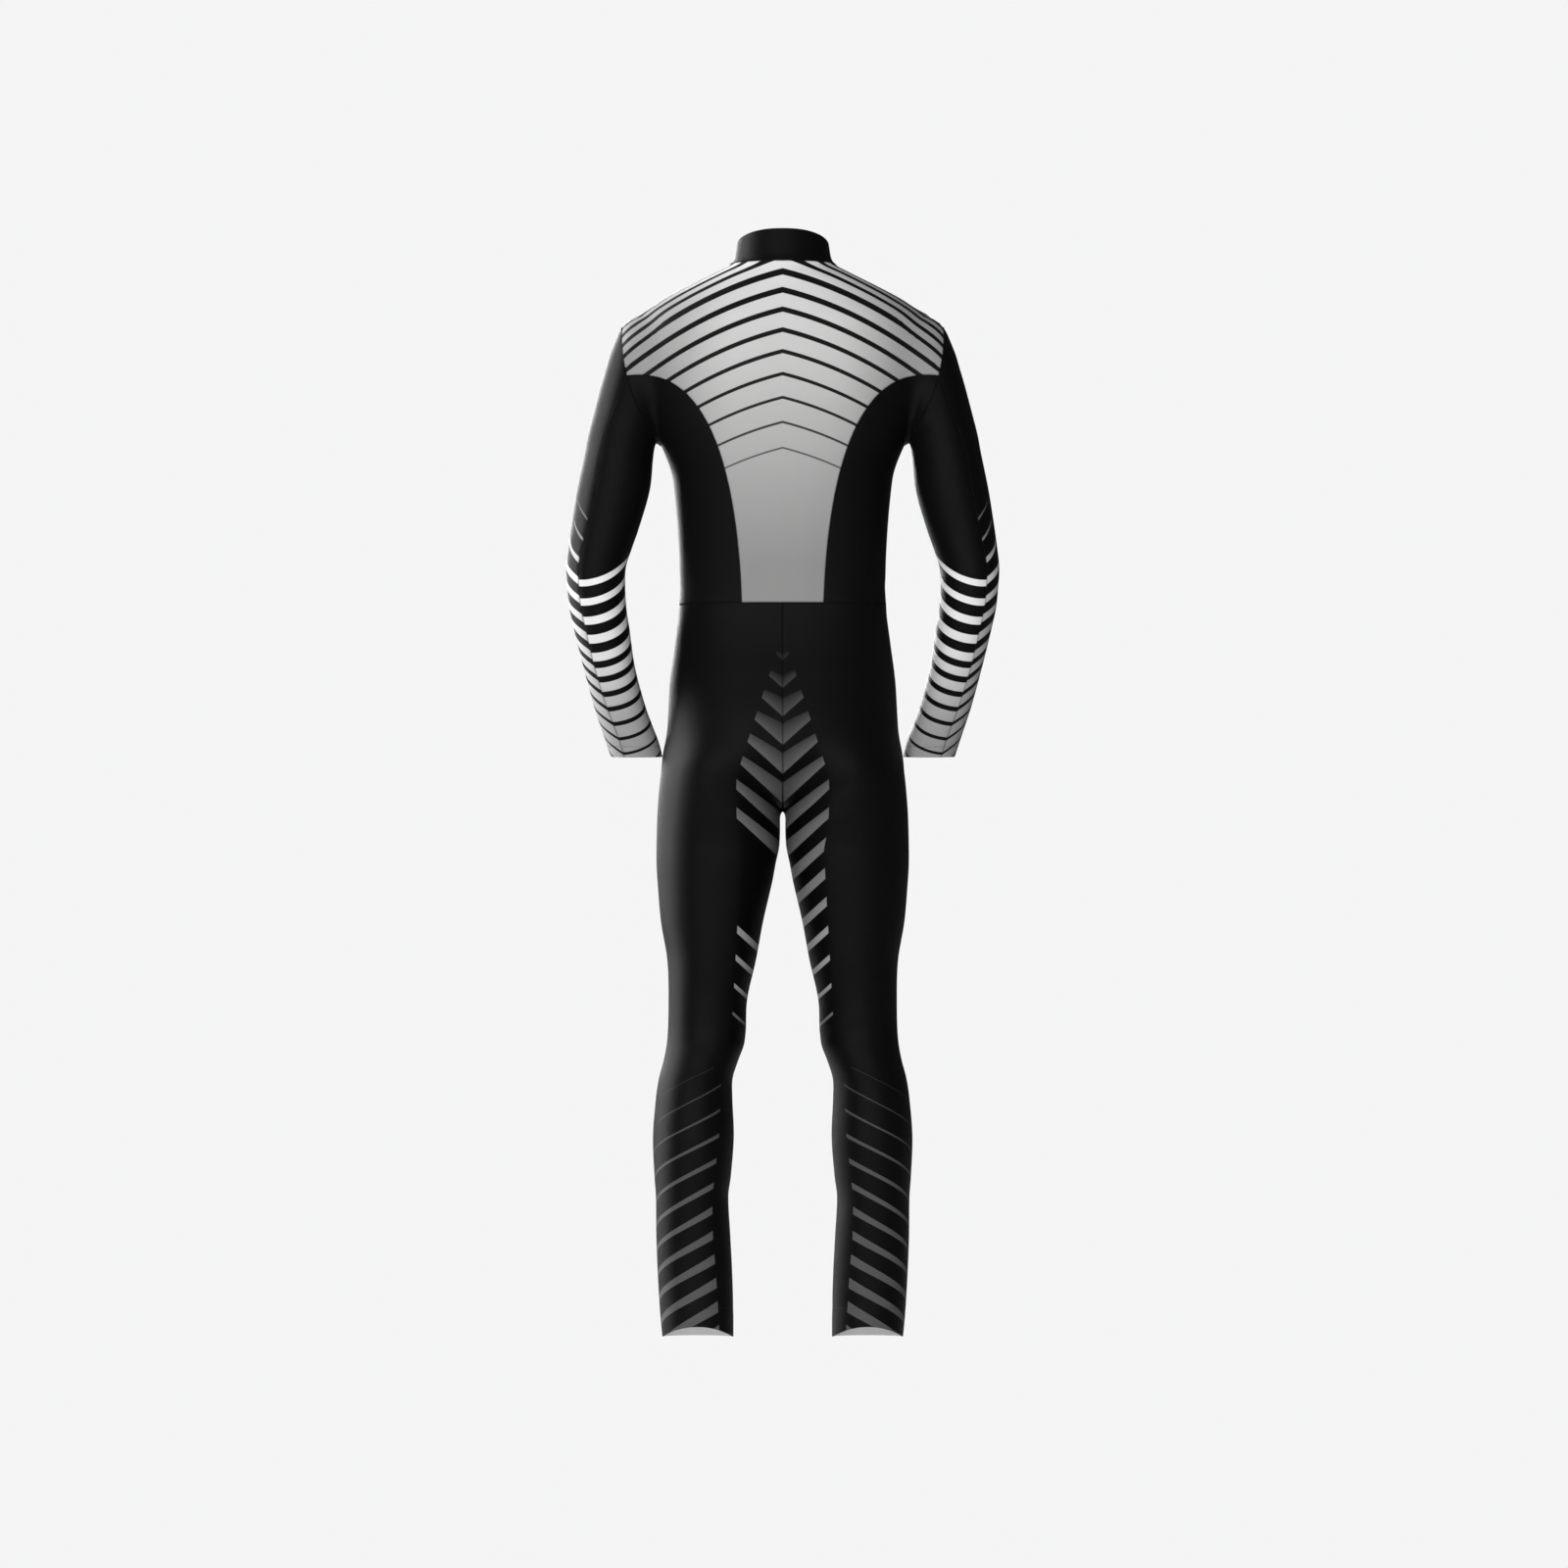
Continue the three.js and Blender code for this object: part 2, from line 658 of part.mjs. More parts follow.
// A closed shell between two offsets from the form, over a grid with moved edges.
function wall(grid, outer, inner, edges) {
  const columns = grid[0].length;
  const rows = grid.length;
  const offsetPoint = (r, c, offset) =>
    grid[r][c].p.clone().add(edgeMove(grid, r, c, edges)).addScaledVector(grid[r][c].n, offset);
  const points = [];
  for (const offset of [outer, inner]) {
    for (let r = 0; r < rows; r += 1) {
      for (let c = 0; c < columns; c += 1) points.push(offsetPoint(r, c, offset));
    }
  }
  const under = rows * columns;
  const index = [];
  for (let r = 0; r < rows - 1; r += 1) {
    for (let c = 0; c < columns - 1; c += 1) {
      const a = r * columns + c;
      const cell = cellTriangles(points, a, a + 1, a + 1 + columns, a + columns);
      index.push(...cell, ...cell.map((i) => i + under).reverse());
    }
  }
  const rim = [];
  for (let c = 0; c < columns - 1; c += 1) rim.push(c);
  for (let r = 0; r < rows - 1; r += 1) rim.push(r * columns + columns - 1);
  for (let c = columns - 1; c > 0; c -= 1) rim.push((rows - 1) * columns + c);
  for (let r = rows - 1; r > 0; r -= 1) rim.push(r * columns);
  rim.forEach((a, i) => {
    const b = rim[(i + 1) % rim.length];
    index.push(a, a + under, b, b, a + under, b + under);
  });
  if (signedVolume(points, index) < 0) index.reverse();
  const geometry = new THREE.BufferGeometry().setFromPoints(points);
  geometry.setIndex(index);
  geometry.computeVertexNormals();
  return geometry;
}

const cloth = (grid, edges) => wall(grid, 0, -CLOTH, edges);

// Zip.

const TAPE = { half: 12, outer: -1.8, inner: -2.8 };
const CHAIN = { half: 3, outer: 0.7, inner: -1.5 };
const SLIDER = { half: 4.4, flange: 1.1, bottom: 1.0, top: 2.2, long: 11, low: -1.3 };
const BAR = { up: 5, radius: 0.8, half: 2.6, ear: 1.1, round: 1.7 };
const PULL = { clear: 0.3, eye: 2.3, neck: 4, neckLong: 6, wide: 8, long: 31, thick: 1.6, round: 3 };
const PULL_TILT = -3; // degrees from the slider's own plane that make the tab hang plumb

// The zip's edge rows from collar top to its lower end: edge point and the next point outwards.
function zipRows(collar, front, leg) {
  const last = collar[0].length - 1;
  const edgeOfCollar = collar.map((row) => [row[last], row[last - 1]]);
  const edgeOfFront = front.slice(1).map((row) => [row[0], row[1]]);
  const edgeOfLeg = leg.slice(1, COUNT.legSeat).map((row) => [row[0], row[1]]);
  return [...edgeOfCollar, ...edgeOfFront, ...edgeOfLeg];
}

const between = (a, b, t) => ({
  p: a.p.clone().lerp(b.p, t),
  n: a.n.clone().lerp(b.n, t).normalize(),
});

const atX = ({ p, n }, x) => ({ p: vec(x, p.y, p.z), n: vec(0, n.y, n.z).normalize() });

// Brings the first and last rows in a little, so that the strip ends inside the slot.
function shortened(grid, share) {
  const last = grid.length - 1;
  return grid.map((row, r) => {
    if (r === 0) return row.map((q, c) => between(q, grid[1][c], share));
    if (r === last) return row.map((q, c) => between(q, grid[last - 1][c], share));
    return row;
  });
}

function tapeGrid(rows) {
  const half = rows.map(([edge, next]) => {
    const t = (TAPE.half - edge.p.x) / (next.p.x - edge.p.x);
    return [edge, between(edge, next, t)];
  });
  const other = mirrored(half);
  return shortened(
    half.map((row, r) => [other[r][1], other[r][0], row[0], row[1]]),
    0.06,
  );
}

function chainGrid(rows) {
  const grid = rows.map(([edge]) => [atX(edge, -CHAIN.half), atX(edge, CHAIN.half)]);
  return shortened(grid, 0.1);
}

// The frame of the slider: x across, y out from the cloth, z up along the zip.
function sliderFrame(rows) {
  const top = rows[0][0].p.clone().setX(0);
  const next = rows[1][0].p.clone().setX(0);
  const up = top.clone().sub(next).normalize();
  const out = up.clone().cross(vec(1, 0, 0));
  const frame = new THREE.Matrix4().makeBasis(vec(1, 0, 0), out, up);
  return frame.setPosition(top.add(next).multiplyScalar(0.5));
}

const wasm = await Module();
wasm.setup();

// A closed geometry as a solid that can be joined and cut.
function solidOf(geometry) {
  const bare = geometry.clone().deleteAttribute("normal").deleteAttribute("uv");
  const merged = mergeVertices(bare, 1e-4);
  const vertProperties = merged.getAttribute("position").array;
  const triVerts = new Uint32Array(merged.getIndex().array);
  return new wasm.Manifold(new wasm.Mesh({ numProp: 3, vertProperties, triVerts }));
}

function boxBetween(low, high) {
  const size = high.map((value, i) => value - low[i]);
  const middle = high.map((value, i) => (value + low[i]) / 2);
  return solidOf(new THREE.BoxGeometry(...size).translate(...middle));
}

// A round bar along x, at height y over the cloth.
function barAlongX(radius, half, y) {
  const bar = new THREE.CylinderGeometry(radius, radius, 2 * half, 24);
  return solidOf(bar.rotateZ(Math.PI / 2).translate(0, y, 0));
}

function sliderSolid() {
  const { half, flange, bottom, top, long, low } = SLIDER;
  const end = long / 2;
  const lap = 0.2;
  const plate = boxBetween([-half, bottom, -end], [half, top, end]);
  const right = boxBetween([half - flange, low, -end], [half, bottom + lap, end]);
  const left = boxBetween([-half, low, -end], [flange - half, bottom + lap, end]);
  const outside = BAR.half + BAR.ear;
  const cheek = boxBetween([-outside, top - lap, -BAR.round], [outside, BAR.up, BAR.round]);
  const space = boxBetween([-BAR.half, top, -long], [BAR.half, BAR.up + long, long]);
  const ears = cheek.add(barAlongX(BAR.round, outside, BAR.up)).subtract(space);
  const bar = barAlongX(BAR.radius, BAR.half + BAR.ear / 2, BAR.up);
  return plate.add(right).add(left).add(ears).add(bar);
}

// The tab's flat blade with rounded corners, from the end of its stem to its tip.
function bladeGeometry() {
  const { neckLong, wide, long, thick, round } = PULL;
  const [right, high, low] = [wide / 2 - round, -neckLong + 1 - round, -long + round];
  const outline = new THREE.Shape();
  outline.absarc(right, high, round, 0, Math.PI / 2);
  outline.absarc(-right, high, round, Math.PI / 2, Math.PI);
  outline.absarc(-right, low, round, Math.PI, 1.5 * Math.PI);
  outline.absarc(right, low, round, 1.5 * Math.PI, 2 * Math.PI);
  const blade = new THREE.ExtrudeGeometry(outline, {
    depth: thick,
    bevelEnabled: false,
    curveSegments: 8,
  });
  return blade.translate(0, 0, -thick / 2).rotateX(Math.PI / 2);
}

// The tab with its eye round the bar, hanging down from the origin.
function pullSolid() {
  const { clear, eye, neck, neckLong, thick } = PULL;
  const stem = boxBetween([-neck / 2, -thick / 2, -neckLong], [neck / 2, thick / 2, -BAR.round]);
  const ring = barAlongX(eye, neck / 2, 0);
  const hole = barAlongX(BAR.radius + clear, neck, 0);
  return solidOf(bladeGeometry()).add(stem).add(ring).subtract(hole);
}

function geometryOf(solid) {
  const mesh = solid.getMesh();
  const geometry = new THREE.BufferGeometry();
  geometry.setAttribute("position", new THREE.BufferAttribute(mesh.vertProperties, 3));
  geometry.setIndex(new THREE.BufferAttribute(mesh.triVerts, 1));
  const flat = geometry.toNonIndexed();
  flat.computeVertexNormals();
  return flat;
}

// The suit.

const suit = new THREE.Group();
suit.name = "ski_race_suit";

function addPiece(name, geometry, colour, roughness, metalness = 0) {
  const material = new THREE.MeshStandardMaterial({ color: colour, roughness, metalness });
  const mesh = new THREE.Mesh(geometry, material);
  mesh.name = name;
  suit.add(mesh);
}

const BLACK = 0x101113;
const LIGHT = 0xb9babc;
const TAPE_BLACK = 0x17181a;
const METAL = 0x55585c;

const addCloth = (name, grid, edges, colour) => addPiece(name, cloth(grid, edges), colour, 0.5);

function addPair(name, grid, edges, colour) {
  addCloth(`${name}_r`, grid, edges, colour);
  addCloth(`${name}_l`, mirrored(grid), edges, colour);
}

const ALL = { top: true, bottom: true, left: true, right: true };
const collar = collarGrid();
const front = frontGrid();
const legFront = legGrid(1);
const sleeve = sleeveGrid();
const frontSeam = COUNT.armholeBack + COUNT.armholeFront - 3;
const legSeams = { top: true, left: true, leftFrom: COUNT.legSeat + COUNT.legCurve + 1, right: true };

addCloth("collar", collar, { bottom: true }, BLACK);
addCloth("back_panel", backPanelGrid(), ALL, LIGHT);
addPair("side_back", sideBackGrid(), ALL, BLACK);
addPair("front", front, { top: true, bottom: true, right: true }, BLACK);
addPair("leg_back", legGrid(-1), legSeams, BLACK);
addPair("leg_front", legFront, legSeams, BLACK);
const sleeveSeams = { top: true, left: true, right: true };
addPair("sleeve_top", sleeve.map((row) => row.slice(0, frontSeam + 1)), sleeveSeams, BLACK);
addPair("sleeve_under", sleeve.map((row) => row.slice(frontSeam)), sleeveSeams, BLACK);

const zip = zipRows(collar, front, legFront);
addPiece("zip_tape", wall(tapeGrid(zip), TAPE.outer, TAPE.inner, {}), TAPE_BLACK, 0.8);
addPiece("zip_chain", wall(chainGrid(zip), CHAIN.outer, CHAIN.inner, {}), TAPE_BLACK, 0.5);

const sliderPlace = sliderFrame(zip);
const pullPlace = sliderPlace
  .clone()
  .multiply(new THREE.Matrix4().makeTranslation(0, BAR.up, 0))
  .multiply(new THREE.Matrix4().makeRotationX(PULL_TILT * RAD));
addPiece("zip_slider", geometryOf(sliderSolid()).applyMatrix4(sliderPlace), METAL, 0.4, 1);
addPiece("zip_pull", geometryOf(pullSolid()).applyMatrix4(pullPlace), METAL, 0.4, 1);

export default suit;
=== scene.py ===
"""A one-piece ski race suit seen from behind, filled out as if it were worn.

The cloth lies on the same body form as the CAD: stacks of ovals that blend into each other. Lengths are in
millimetres until the meshes are made, in metres from there on. +X is the wearer's right, +Y the wearer's
front.
"""

import math
from functools import partial

import bpy
import numpy as np
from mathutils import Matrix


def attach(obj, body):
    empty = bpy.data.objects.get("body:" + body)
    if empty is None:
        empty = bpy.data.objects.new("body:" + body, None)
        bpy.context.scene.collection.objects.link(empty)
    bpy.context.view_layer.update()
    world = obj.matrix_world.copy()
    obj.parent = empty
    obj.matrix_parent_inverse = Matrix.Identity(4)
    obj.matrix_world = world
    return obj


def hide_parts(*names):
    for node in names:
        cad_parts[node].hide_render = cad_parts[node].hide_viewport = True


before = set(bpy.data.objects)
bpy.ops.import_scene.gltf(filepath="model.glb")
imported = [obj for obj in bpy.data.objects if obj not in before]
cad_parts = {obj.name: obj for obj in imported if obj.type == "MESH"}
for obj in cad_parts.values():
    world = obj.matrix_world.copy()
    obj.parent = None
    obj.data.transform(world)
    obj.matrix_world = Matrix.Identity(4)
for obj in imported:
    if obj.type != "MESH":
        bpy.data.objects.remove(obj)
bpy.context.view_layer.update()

# Camera: a long lens from behind, a little under the middle of the suit.
VIEW_WIDTH = 2.064
VIEW_DISTANCE = 12.0
VIEW_TARGET = (0.0017, 0.0, -0.686)
VIEW_RISE = math.radians(-1.5)

camera_data = bpy.data.cameras.new("camera")
camera_data.sensor_width = 36
camera_data.lens = 36 * VIEW_DISTANCE / VIEW_WIDTH
camera_data.clip_end = 60
camera = bpy.data.objects.new("camera", camera_data)
bpy.context.collection.objects.link(camera)
camera.location = (
    VIEW_TARGET[0],
    VIEW_TARGET[1] - VIEW_DISTANCE * math.cos(VIEW_RISE),
    VIEW_TARGET[2] + VIEW_DISTANCE * math.sin(VIEW_RISE),
)
camera.rotation_euler = (math.pi / 2 - VIEW_RISE, 0, 0)
bpy.context.scene.camera = camera

# Sizes, as in the CAD.
CLOTH = 1.2
WAIST_Z = -450
HEM_Z = -1412
HEM_NOTCH = 14
FRONT_EDGE = 5.5
NECK_Y = 6
NECKLINE_DROP = 40
COLLAR_BACK = 43
COLLAR_FALL = 41
COLLAR_EVEN = 1.2
SHOULDER_TURN = 100
ARMHOLE = {"x": 212, "z": -86, "run": 146, "rise": 45, "power": 2.2, "middle": -165}
ARMHOLE_SHOULDER, ARMHOLE_BACK, ARMHOLE_UNDER = -12, 77, 180
FUNNEL_PULL = ((110, -138), (60, -250))
FUNNEL_FOOT = 53.5
SLEEVE_TOP_Z = -262
ELBOW_Z = -430
CUFF_Z = -649
SLEEVE_LIFT = 10
CUFF_DROP = 2
TURN_ELBOW, TURN_SHOULDER, TURN_FRONT, TURN_UNDER = 28, 95, 225, 270
SEAT_Z = -640
CROTCH_Z = -722
TRUNK_END = (-718, 80)  # where the trunk's rounded end begins, and over what height it closes
LEG_END = (-560, 110)
ARM_END = (-72, 55)
LEG_POWER, ARM_POWER = 2.15, 2.1
NECK_BLEND, LEG_BLEND = 14, 16

# Cells along each seam of the CAD, each of which is divided into FINE here.
FINE = 6
NECK_CELLS = 8
SHOULDER_CELLS = 5
COLLAR_CELLS = 3
HOLE_BACK, HOLE_UNDER, HOLE_FRONT = 5, 6, 10
BODY_CELLS = 12
CAP_CELLS = 6
SLEEVE_CELLS = 14
LEG_ACROSS = 10
LEG_SEAT, LEG_CURVE, LEG_DOWN = 6, 4, 24

# Trunk ovals: height, half width, depth in front, depth behind, squareness.
TRUNK_ROWS = [
    (-2, 69, 46, 50, 2.0),
    (-15, 95, 56, 60, 2.0),
    (-31, 127, 63, 68, 2.0),
    (-48, 158.5, 70, 76, 2.0),
    (-68, 185.5, 78, 84, 2.1),
    (-90, 201, 86, 91, 2.1),
    (-120, 205, 97, 99, 2.2),
    (-160, 198, 110, 106, 2.2),
    (-200, 180, 118, 108, 2.3),
    (-240, 160, 121, 106, 2.4),
    (-273, 147, 119, 102, 2.4),
    (-300, 142.5, 115, 98, 2.4),
    (-350, 138, 108, 89, 2.4),
    (-400, 135.5, 103, 81, 2.4),
    (-450, 135.5, 101, 79, 2.4),
    (-500, 141.5, 103, 86, 2.4),
    (-550, 148, 104, 100, 2.4),
    (-600, 151, 101, 114, 2.4),
    (-640, 154, 94, 118, 2.4),
    (-680, 160, 88, 115, 2.3),
    (-718, 163, 84, 108, 2.3),
]
# Neck ovals about the neck's own axis: height, half width, depth in front, depth behind.
NECK_ROWS = [
    (80, 56, 57, 53),
    (50, 58, 59, 55),
    (25, 61, 61, 57),
    (0, 64.5, 64, 59),
    (-60, 66, 66, 60),
]
# Arm ovals: height, inner edge, outer edge, middle front to back, half depth.
ARM_ROWS = [
    (-72, 146, 226, -4, 44),
    (-100, 148, 224, -4.5, 46),
    (-127, 150, 230, -5.5, 50),
    (-160, 152, 239.5, -6.5, 54),
    (-200, 158, 250, -8, 57),
    (-228, 164, 257, -9, 57),
    (-248, 169.5, 260.6, -10, 57),
    (-299, 174.8, 270.9, -12, 55),
    (-351, 189.6, 279, -13, 52),
    (-377, 198.7, 282.5, -13.5, 51),
    (-402, 206.4, 285, -14, 50),
    (-428, 207, 283.5, -13, 50),
    (-454, 205.8, 281, -9, 49),
    (-480, 201.9, 275.4, -3, 47),
    (-531, 194.8, 263, 9, 42),
    (-583, 181, 249, 23, 37),
    (-609, 171.5, 240.6, 30, 35),
    (-630, 163.5, 233.5, 35, 34),
    (-656, 157, 225, 41, 34),
]
# Leg ovals: height, inner edge, outer edge, middle front to back, depth in front, depth behind.
LEG_ROWS = [
    (-560, 6, 138, 0, 92, 96),
    (-600, 6, 145, 0, 92, 106),
    (-640, 5, 153, 0, 90, 114),
    (-660, 4.5, 158, 0, 89, 115),
    (-680, 4, 161, 0, 88, 113),
    (-722, 4, 164.5, 0, 84, 102),
    (-765, 4.5, 165.8, 0, 81, 92),
    (-792, 9.7, 165.8, 0, 80, 88),
    (-815, 14, 164.5, 0, 79, 84),
    (-867, 26, 160, 0, 76, 75),
    (-918, 35.5, 151.6, 0, 70, 67),
    (-970, 47, 150, 2, 63, 60),
    (-1022, 49.7, 151.6, 2, 58, 58),
    (-1048, 58, 156, 0, 54, 62),
    (-1073, 66, 162.5, -2, 51, 66),
    (-1099, 66.4, 166.4, -4, 49, 69),
    (-1150, 64.5, 170.3, -6, 49, 70),
    (-1202, 68.4, 168.3, -8, 49, 64),
    (-1228, 71.6, 166.4, -9, 48, 60),
    (-1280, 69, 165.8, -10, 48, 54),
    (-1331, 66.4, 163.8, -10, 49, 50),
    (-1383, 65, 160.6, -10, 49, 49),
    (-1420, 65, 157, -10, 49, 49),
]
# How widely the arm blends into the trunk, by height.
ARM_BLEND_ROWS = [(-60, 24), (-150, 22), (-215, 9), (-290, 5), (-340, 0), (-400, 0)]


def dense(rows):
    """A table read every half millimetre of height, by cubics that keep the slope between the rows."""
    rows = np.array(rows, float)[::-1]
    z, values = rows[:, 0], rows[:, 1:]
    above = np.vstack([rows[1:], rows[-1:]])
    below = np.vstack([rows[:1], rows[:-1]])
    slope = (above[:, 1:] - below[:, 1:]) / (above[:, :1] - below[:, :1])
    level = np.arange(z[0], z[-1] + 0.25, 0.5)
    i = np.clip(np.searchsorted(z, level, side="right") - 1, 0, len(z) - 2)
    step = (z[i + 1] - z[i])[:, None]
    t = (level[:, None] - z[i][:, None]) / step
    bend = t * t * (3 - 2 * t)
    ends = slope[i] * step * (1 - t) - slope[i + 1] * step * t
    return level, (values[i] + (values[i + 1] - values[i]) * bend + t * (1 - t) * ends).T


TRUNK, NECK, ARM, LEG, ARM_BLEND = map(
    dense, (TRUNK_ROWS, NECK_ROWS, ARM_ROWS, LEG_ROWS, ARM_BLEND_ROWS)
)


def at_height(table, z):
    """The table's columns at the heights z."""
    return [np.interp(z, table[0], column) for column in table[1]]


def oval_gap(dx, dy, half_x, half_y, power):
    """Level distance from an oval |x/a|^p + |y/b|^p = 1, negative inside it."""
    reach = np.hypot(dx, dy)
    ratio = (np.abs(dx / half_x) ** power + np.abs(dy / half_y) ** power) ** (1 / power)
    return np.where(reach < 1e-6, -np.minimum(half_x, half_y), reach - reach / np.maximum(ratio, 1e-9))


def end_share(left):
    """Shrinks a stack to nothing towards a rounded end, as a quarter circle does."""
    t = 1 - np.clip(left, 0, 1)
    return np.maximum(np.sqrt(1 - t * t), 1e-3)


def with_end(table, gap, z):
    """Past the end of a stack the distance to that end counts too."""
    past = np.maximum(np.maximum(z - table[0][-1], table[0][0] - z), 0)
    return np.where(past > 0, np.hypot(np.maximum(gap, 0), past), gap)


def blend(a, b, width):
    """The smaller of two distances, rounded off where they differ by less than the width."""
    wide = np.maximum(width, 0.1)
    near = np.maximum(wide - np.abs(a - b), 0) / wide
    return np.minimum(a, b) - np.where(width < 0.1, 0, near * near * wide * 0.25)


def form(p):
    """Distance from the body form, negative inside; both sides are alike."""
    x, y, z = np.abs(p[..., 0]), p[..., 1], p[..., 2]
    half, front, back, power = at_height(TRUNK, z)
    share = end_share((z - TRUNK_END[0]) / TRUNK_END[1])
    deep = np.where(y < 0, back, front)
    trunk = with_end(TRUNK, oval_gap(x, y, half * share, deep * share, power), z)
    half, front, back = at_height(NECK, z)
    deep = np.where(y < NECK_Y, back, front)
    neck = with_end(NECK, oval_gap(x, y - NECK_Y, half, deep, 2), z)
    inner, outer, middle, front, back = at_height(LEG, z)
    share = end_share((LEG_END[0] - z) / LEG_END[1])
    deep = np.where(y < middle, back, front)
    wide = (outer - inner) / 2
    leg = oval_gap(x - (inner + outer) / 2, y - middle, wide * share, deep * share, LEG_POWER)
    leg = with_end(LEG, leg, z)
    inner, outer, middle, deep = at_height(ARM, z)
    share = end_share((ARM_END[0] - z) / ARM_END[1])
    wide = (outer - inner) / 2
    arm = oval_gap(x - (inner + outer) / 2, y - middle, wide * share, deep * share, ARM_POWER)
    arm = with_end(ARM, arm, z)
    body = blend(blend(trunk, neck, NECK_BLEND), leg, LEG_BLEND)
    return blend(body, arm, at_height(ARM_BLEND, z)[0])


def slope_of_form(p):
    """The form's gradient, from differences over 0.8 mm."""
    e = 0.4
    steps = [np.array(axis) * e for axis in ((1, 0, 0), (0, 1, 0), (0, 0, 1))]
    return np.stack([(form(p + s) - form(p - s)) / (2 * e) for s in steps], axis=-1)


def unit(v):
    return v / np.maximum(np.linalg.norm(v, axis=-1, keepdims=True), 1e-9)


def onto(p, passes=6):
    """The points of the form nearest to the guesses."""
    for _ in range(passes):
        slope = slope_of_form(p)
        size = np.maximum((slope**2).sum(-1), 0.2)
        p = p - (np.clip(form(p), -12, 12) / size)[..., None] * slope
    return p


def leaving(path, count):
    """Where each of several paths that start inside the form leaves it: 2 mm steps, then halving."""
    near = np.zeros(count)
    inside = np.ones(count, bool)
    for _ in range(200):
        inside = inside & (form(path(near + 2)) < 0)
        if not inside.any():
            break
        near = np.where(inside, near + 2, near)
    far = near + 2
    for _ in range(24):
        middle = (near + far) / 2
        within = form(path(middle)) < 0
        near, far = np.where(within, middle, near), np.where(within, far, middle)
    return path((near + far) / 2)


def level_ray(x, y, z, turn):
    """Level rays from (x, y) at height z; turn 0 points back, 90 to the side, 180 to the front."""
    x, y, z, turn = np.broadcast_arrays(*(np.asarray(v, float) for v in (x, y, z, turn)))
    shape = x.shape
    x, y, z, turn = x.ravel(), y.ravel(), z.ravel(), np.radians(turn.ravel())
    out = leaving(lambda s: np.stack([x + np.sin(turn) * s, y - np.cos(turn) * s, z], -1), x.size)
    return out.reshape(*shape, 3)


def span(a, b, cells):
    """Even steps from a to b, FINE to a cell."""
    return np.linspace(a, b, cells * FINE + 1)


# Seams, from the middle of the back outwards on the +X side.


def fall_share(turn):
    """0 at the back, 1 at the front, level at both."""
    return (1 - np.cos(np.radians(turn))) / 2


def neckline_z(turn):
    return -NECKLINE_DROP * fall_share(turn) ** 4


def collar_top_z(turn):
    return COLLAR_BACK - COLLAR_FALL * fall_share(turn) ** COLLAR_EVEN


def neck_point(turn, z):
    """Points of the neck; the last one at the front lies on the zip's edge."""
    turn = np.asarray(turn, float)
    at_zip = turn > 179.9
    return level_ray(np.where(at_zip, FRONT_EDGE, 0), NECK_Y, z, turn)


def armhole_point(turn):
    """The armhole lies on a bent sheet that leans inwards as it goes down."""
    across, up = np.sin(np.radians(turn)), np.cos(np.radians(turn))

    def path(s):
        z = ARMHOLE["middle"] + up * s
        t = np.clip((ARMHOLE["z"] - z) / ARMHOLE["run"], 0, 1)
        return np.stack([ARMHOLE["x"] - ARMHOLE["rise"] * t ** ARMHOLE["power"], -across * s, z], -1)

    return leaving(path, turn.size)


BACK_TURNS = span(0, SHOULDER_TURN, NECK_CELLS)
FRONT_TURNS = span(SHOULDER_TURN, 175, NECK_CELLS)
FRONT_TURNS[-FINE:] = np.linspace(FRONT_TURNS[-FINE - 1], 180, FINE + 1)[1:]

armhole_back = armhole_point(span(ARMHOLE_SHOULDER, ARMHOLE_BACK, HOLE_BACK))
armhole_under = armhole_point(span(ARMHOLE_BACK, ARMHOLE_UNDER, HOLE_UNDER))
armhole_front = armhole_point(span(ARMHOLE_SHOULDER, ARMHOLE_UNDER - 360, HOLE_FRONT))
shoulder_tip, armpit = armhole_back[0], armhole_under[-1]


def shoulder_seam():
    """Straight in plan from the neckline to the armhole."""
    start = neck_point(SHOULDER_TURN, neckline_z(SHOULDER_TURN))
    t = span(0, 1, SHOULDER_CELLS)[:, None]
    flat = (start + (shoulder_tip - start) * t)[:, :2]
    line = leaving(lambda s: np.column_stack([flat, s - 140]), len(flat))
    line[0], line[-1] = start, shoulder_tip
    return line


def funnel_seam():
    """The side seam of the back panel: a Bezier curve seen from behind, evenly divided."""
    start = armhole_under[0]
    ends = np.array([start[[0, 2]], *FUNNEL_PULL, (FUNNEL_FOOT, WAIST_Z)])
    t = np.linspace(0, 1, 400)[:, None]
    weights = np.hstack([(1 - t) ** 3, 3 * t * (1 - t) ** 2, 3 * t * t * (1 - t), t**3])
    curve = weights @ ends
    run = np.append(0, np.cumsum(np.linalg.norm(np.diff(curve, axis=0), axis=1)))
    even = span(0, run[-1], BODY_CELLS)
    x, z = (np.interp(even, run, curve[:, i]) for i in (0, 1))
    line = level_ray(x, 0, z, 0)
    line[0] = start
    return line


shoulder_line = shoulder_seam()
funnel_line = funnel_seam()
side_line = level_ray(60, 0, span(armpit[2], WAIST_Z, BODY_CELLS), 90)
side_line[0] = armpit


def spanned(top, right, bottom, left):
    """The sheet that four boundary lines span: the two ruled sheets less the one of the corners."""
    v = np.linspace(0, 1, len(left))[:, None, None]
    u = np.linspace(0, 1, len(top))[None, :, None]
    ruled = top[None] * (1 - v) + bottom[None] * v + left[:, None] * (1 - u) + right[:, None] * u
    corners = (top[0] * (1 - u) + top[-1] * u) * (1 - v) + (bottom[0] * (1 - u) + bottom[-1] * u) * v
    return ruled - corners


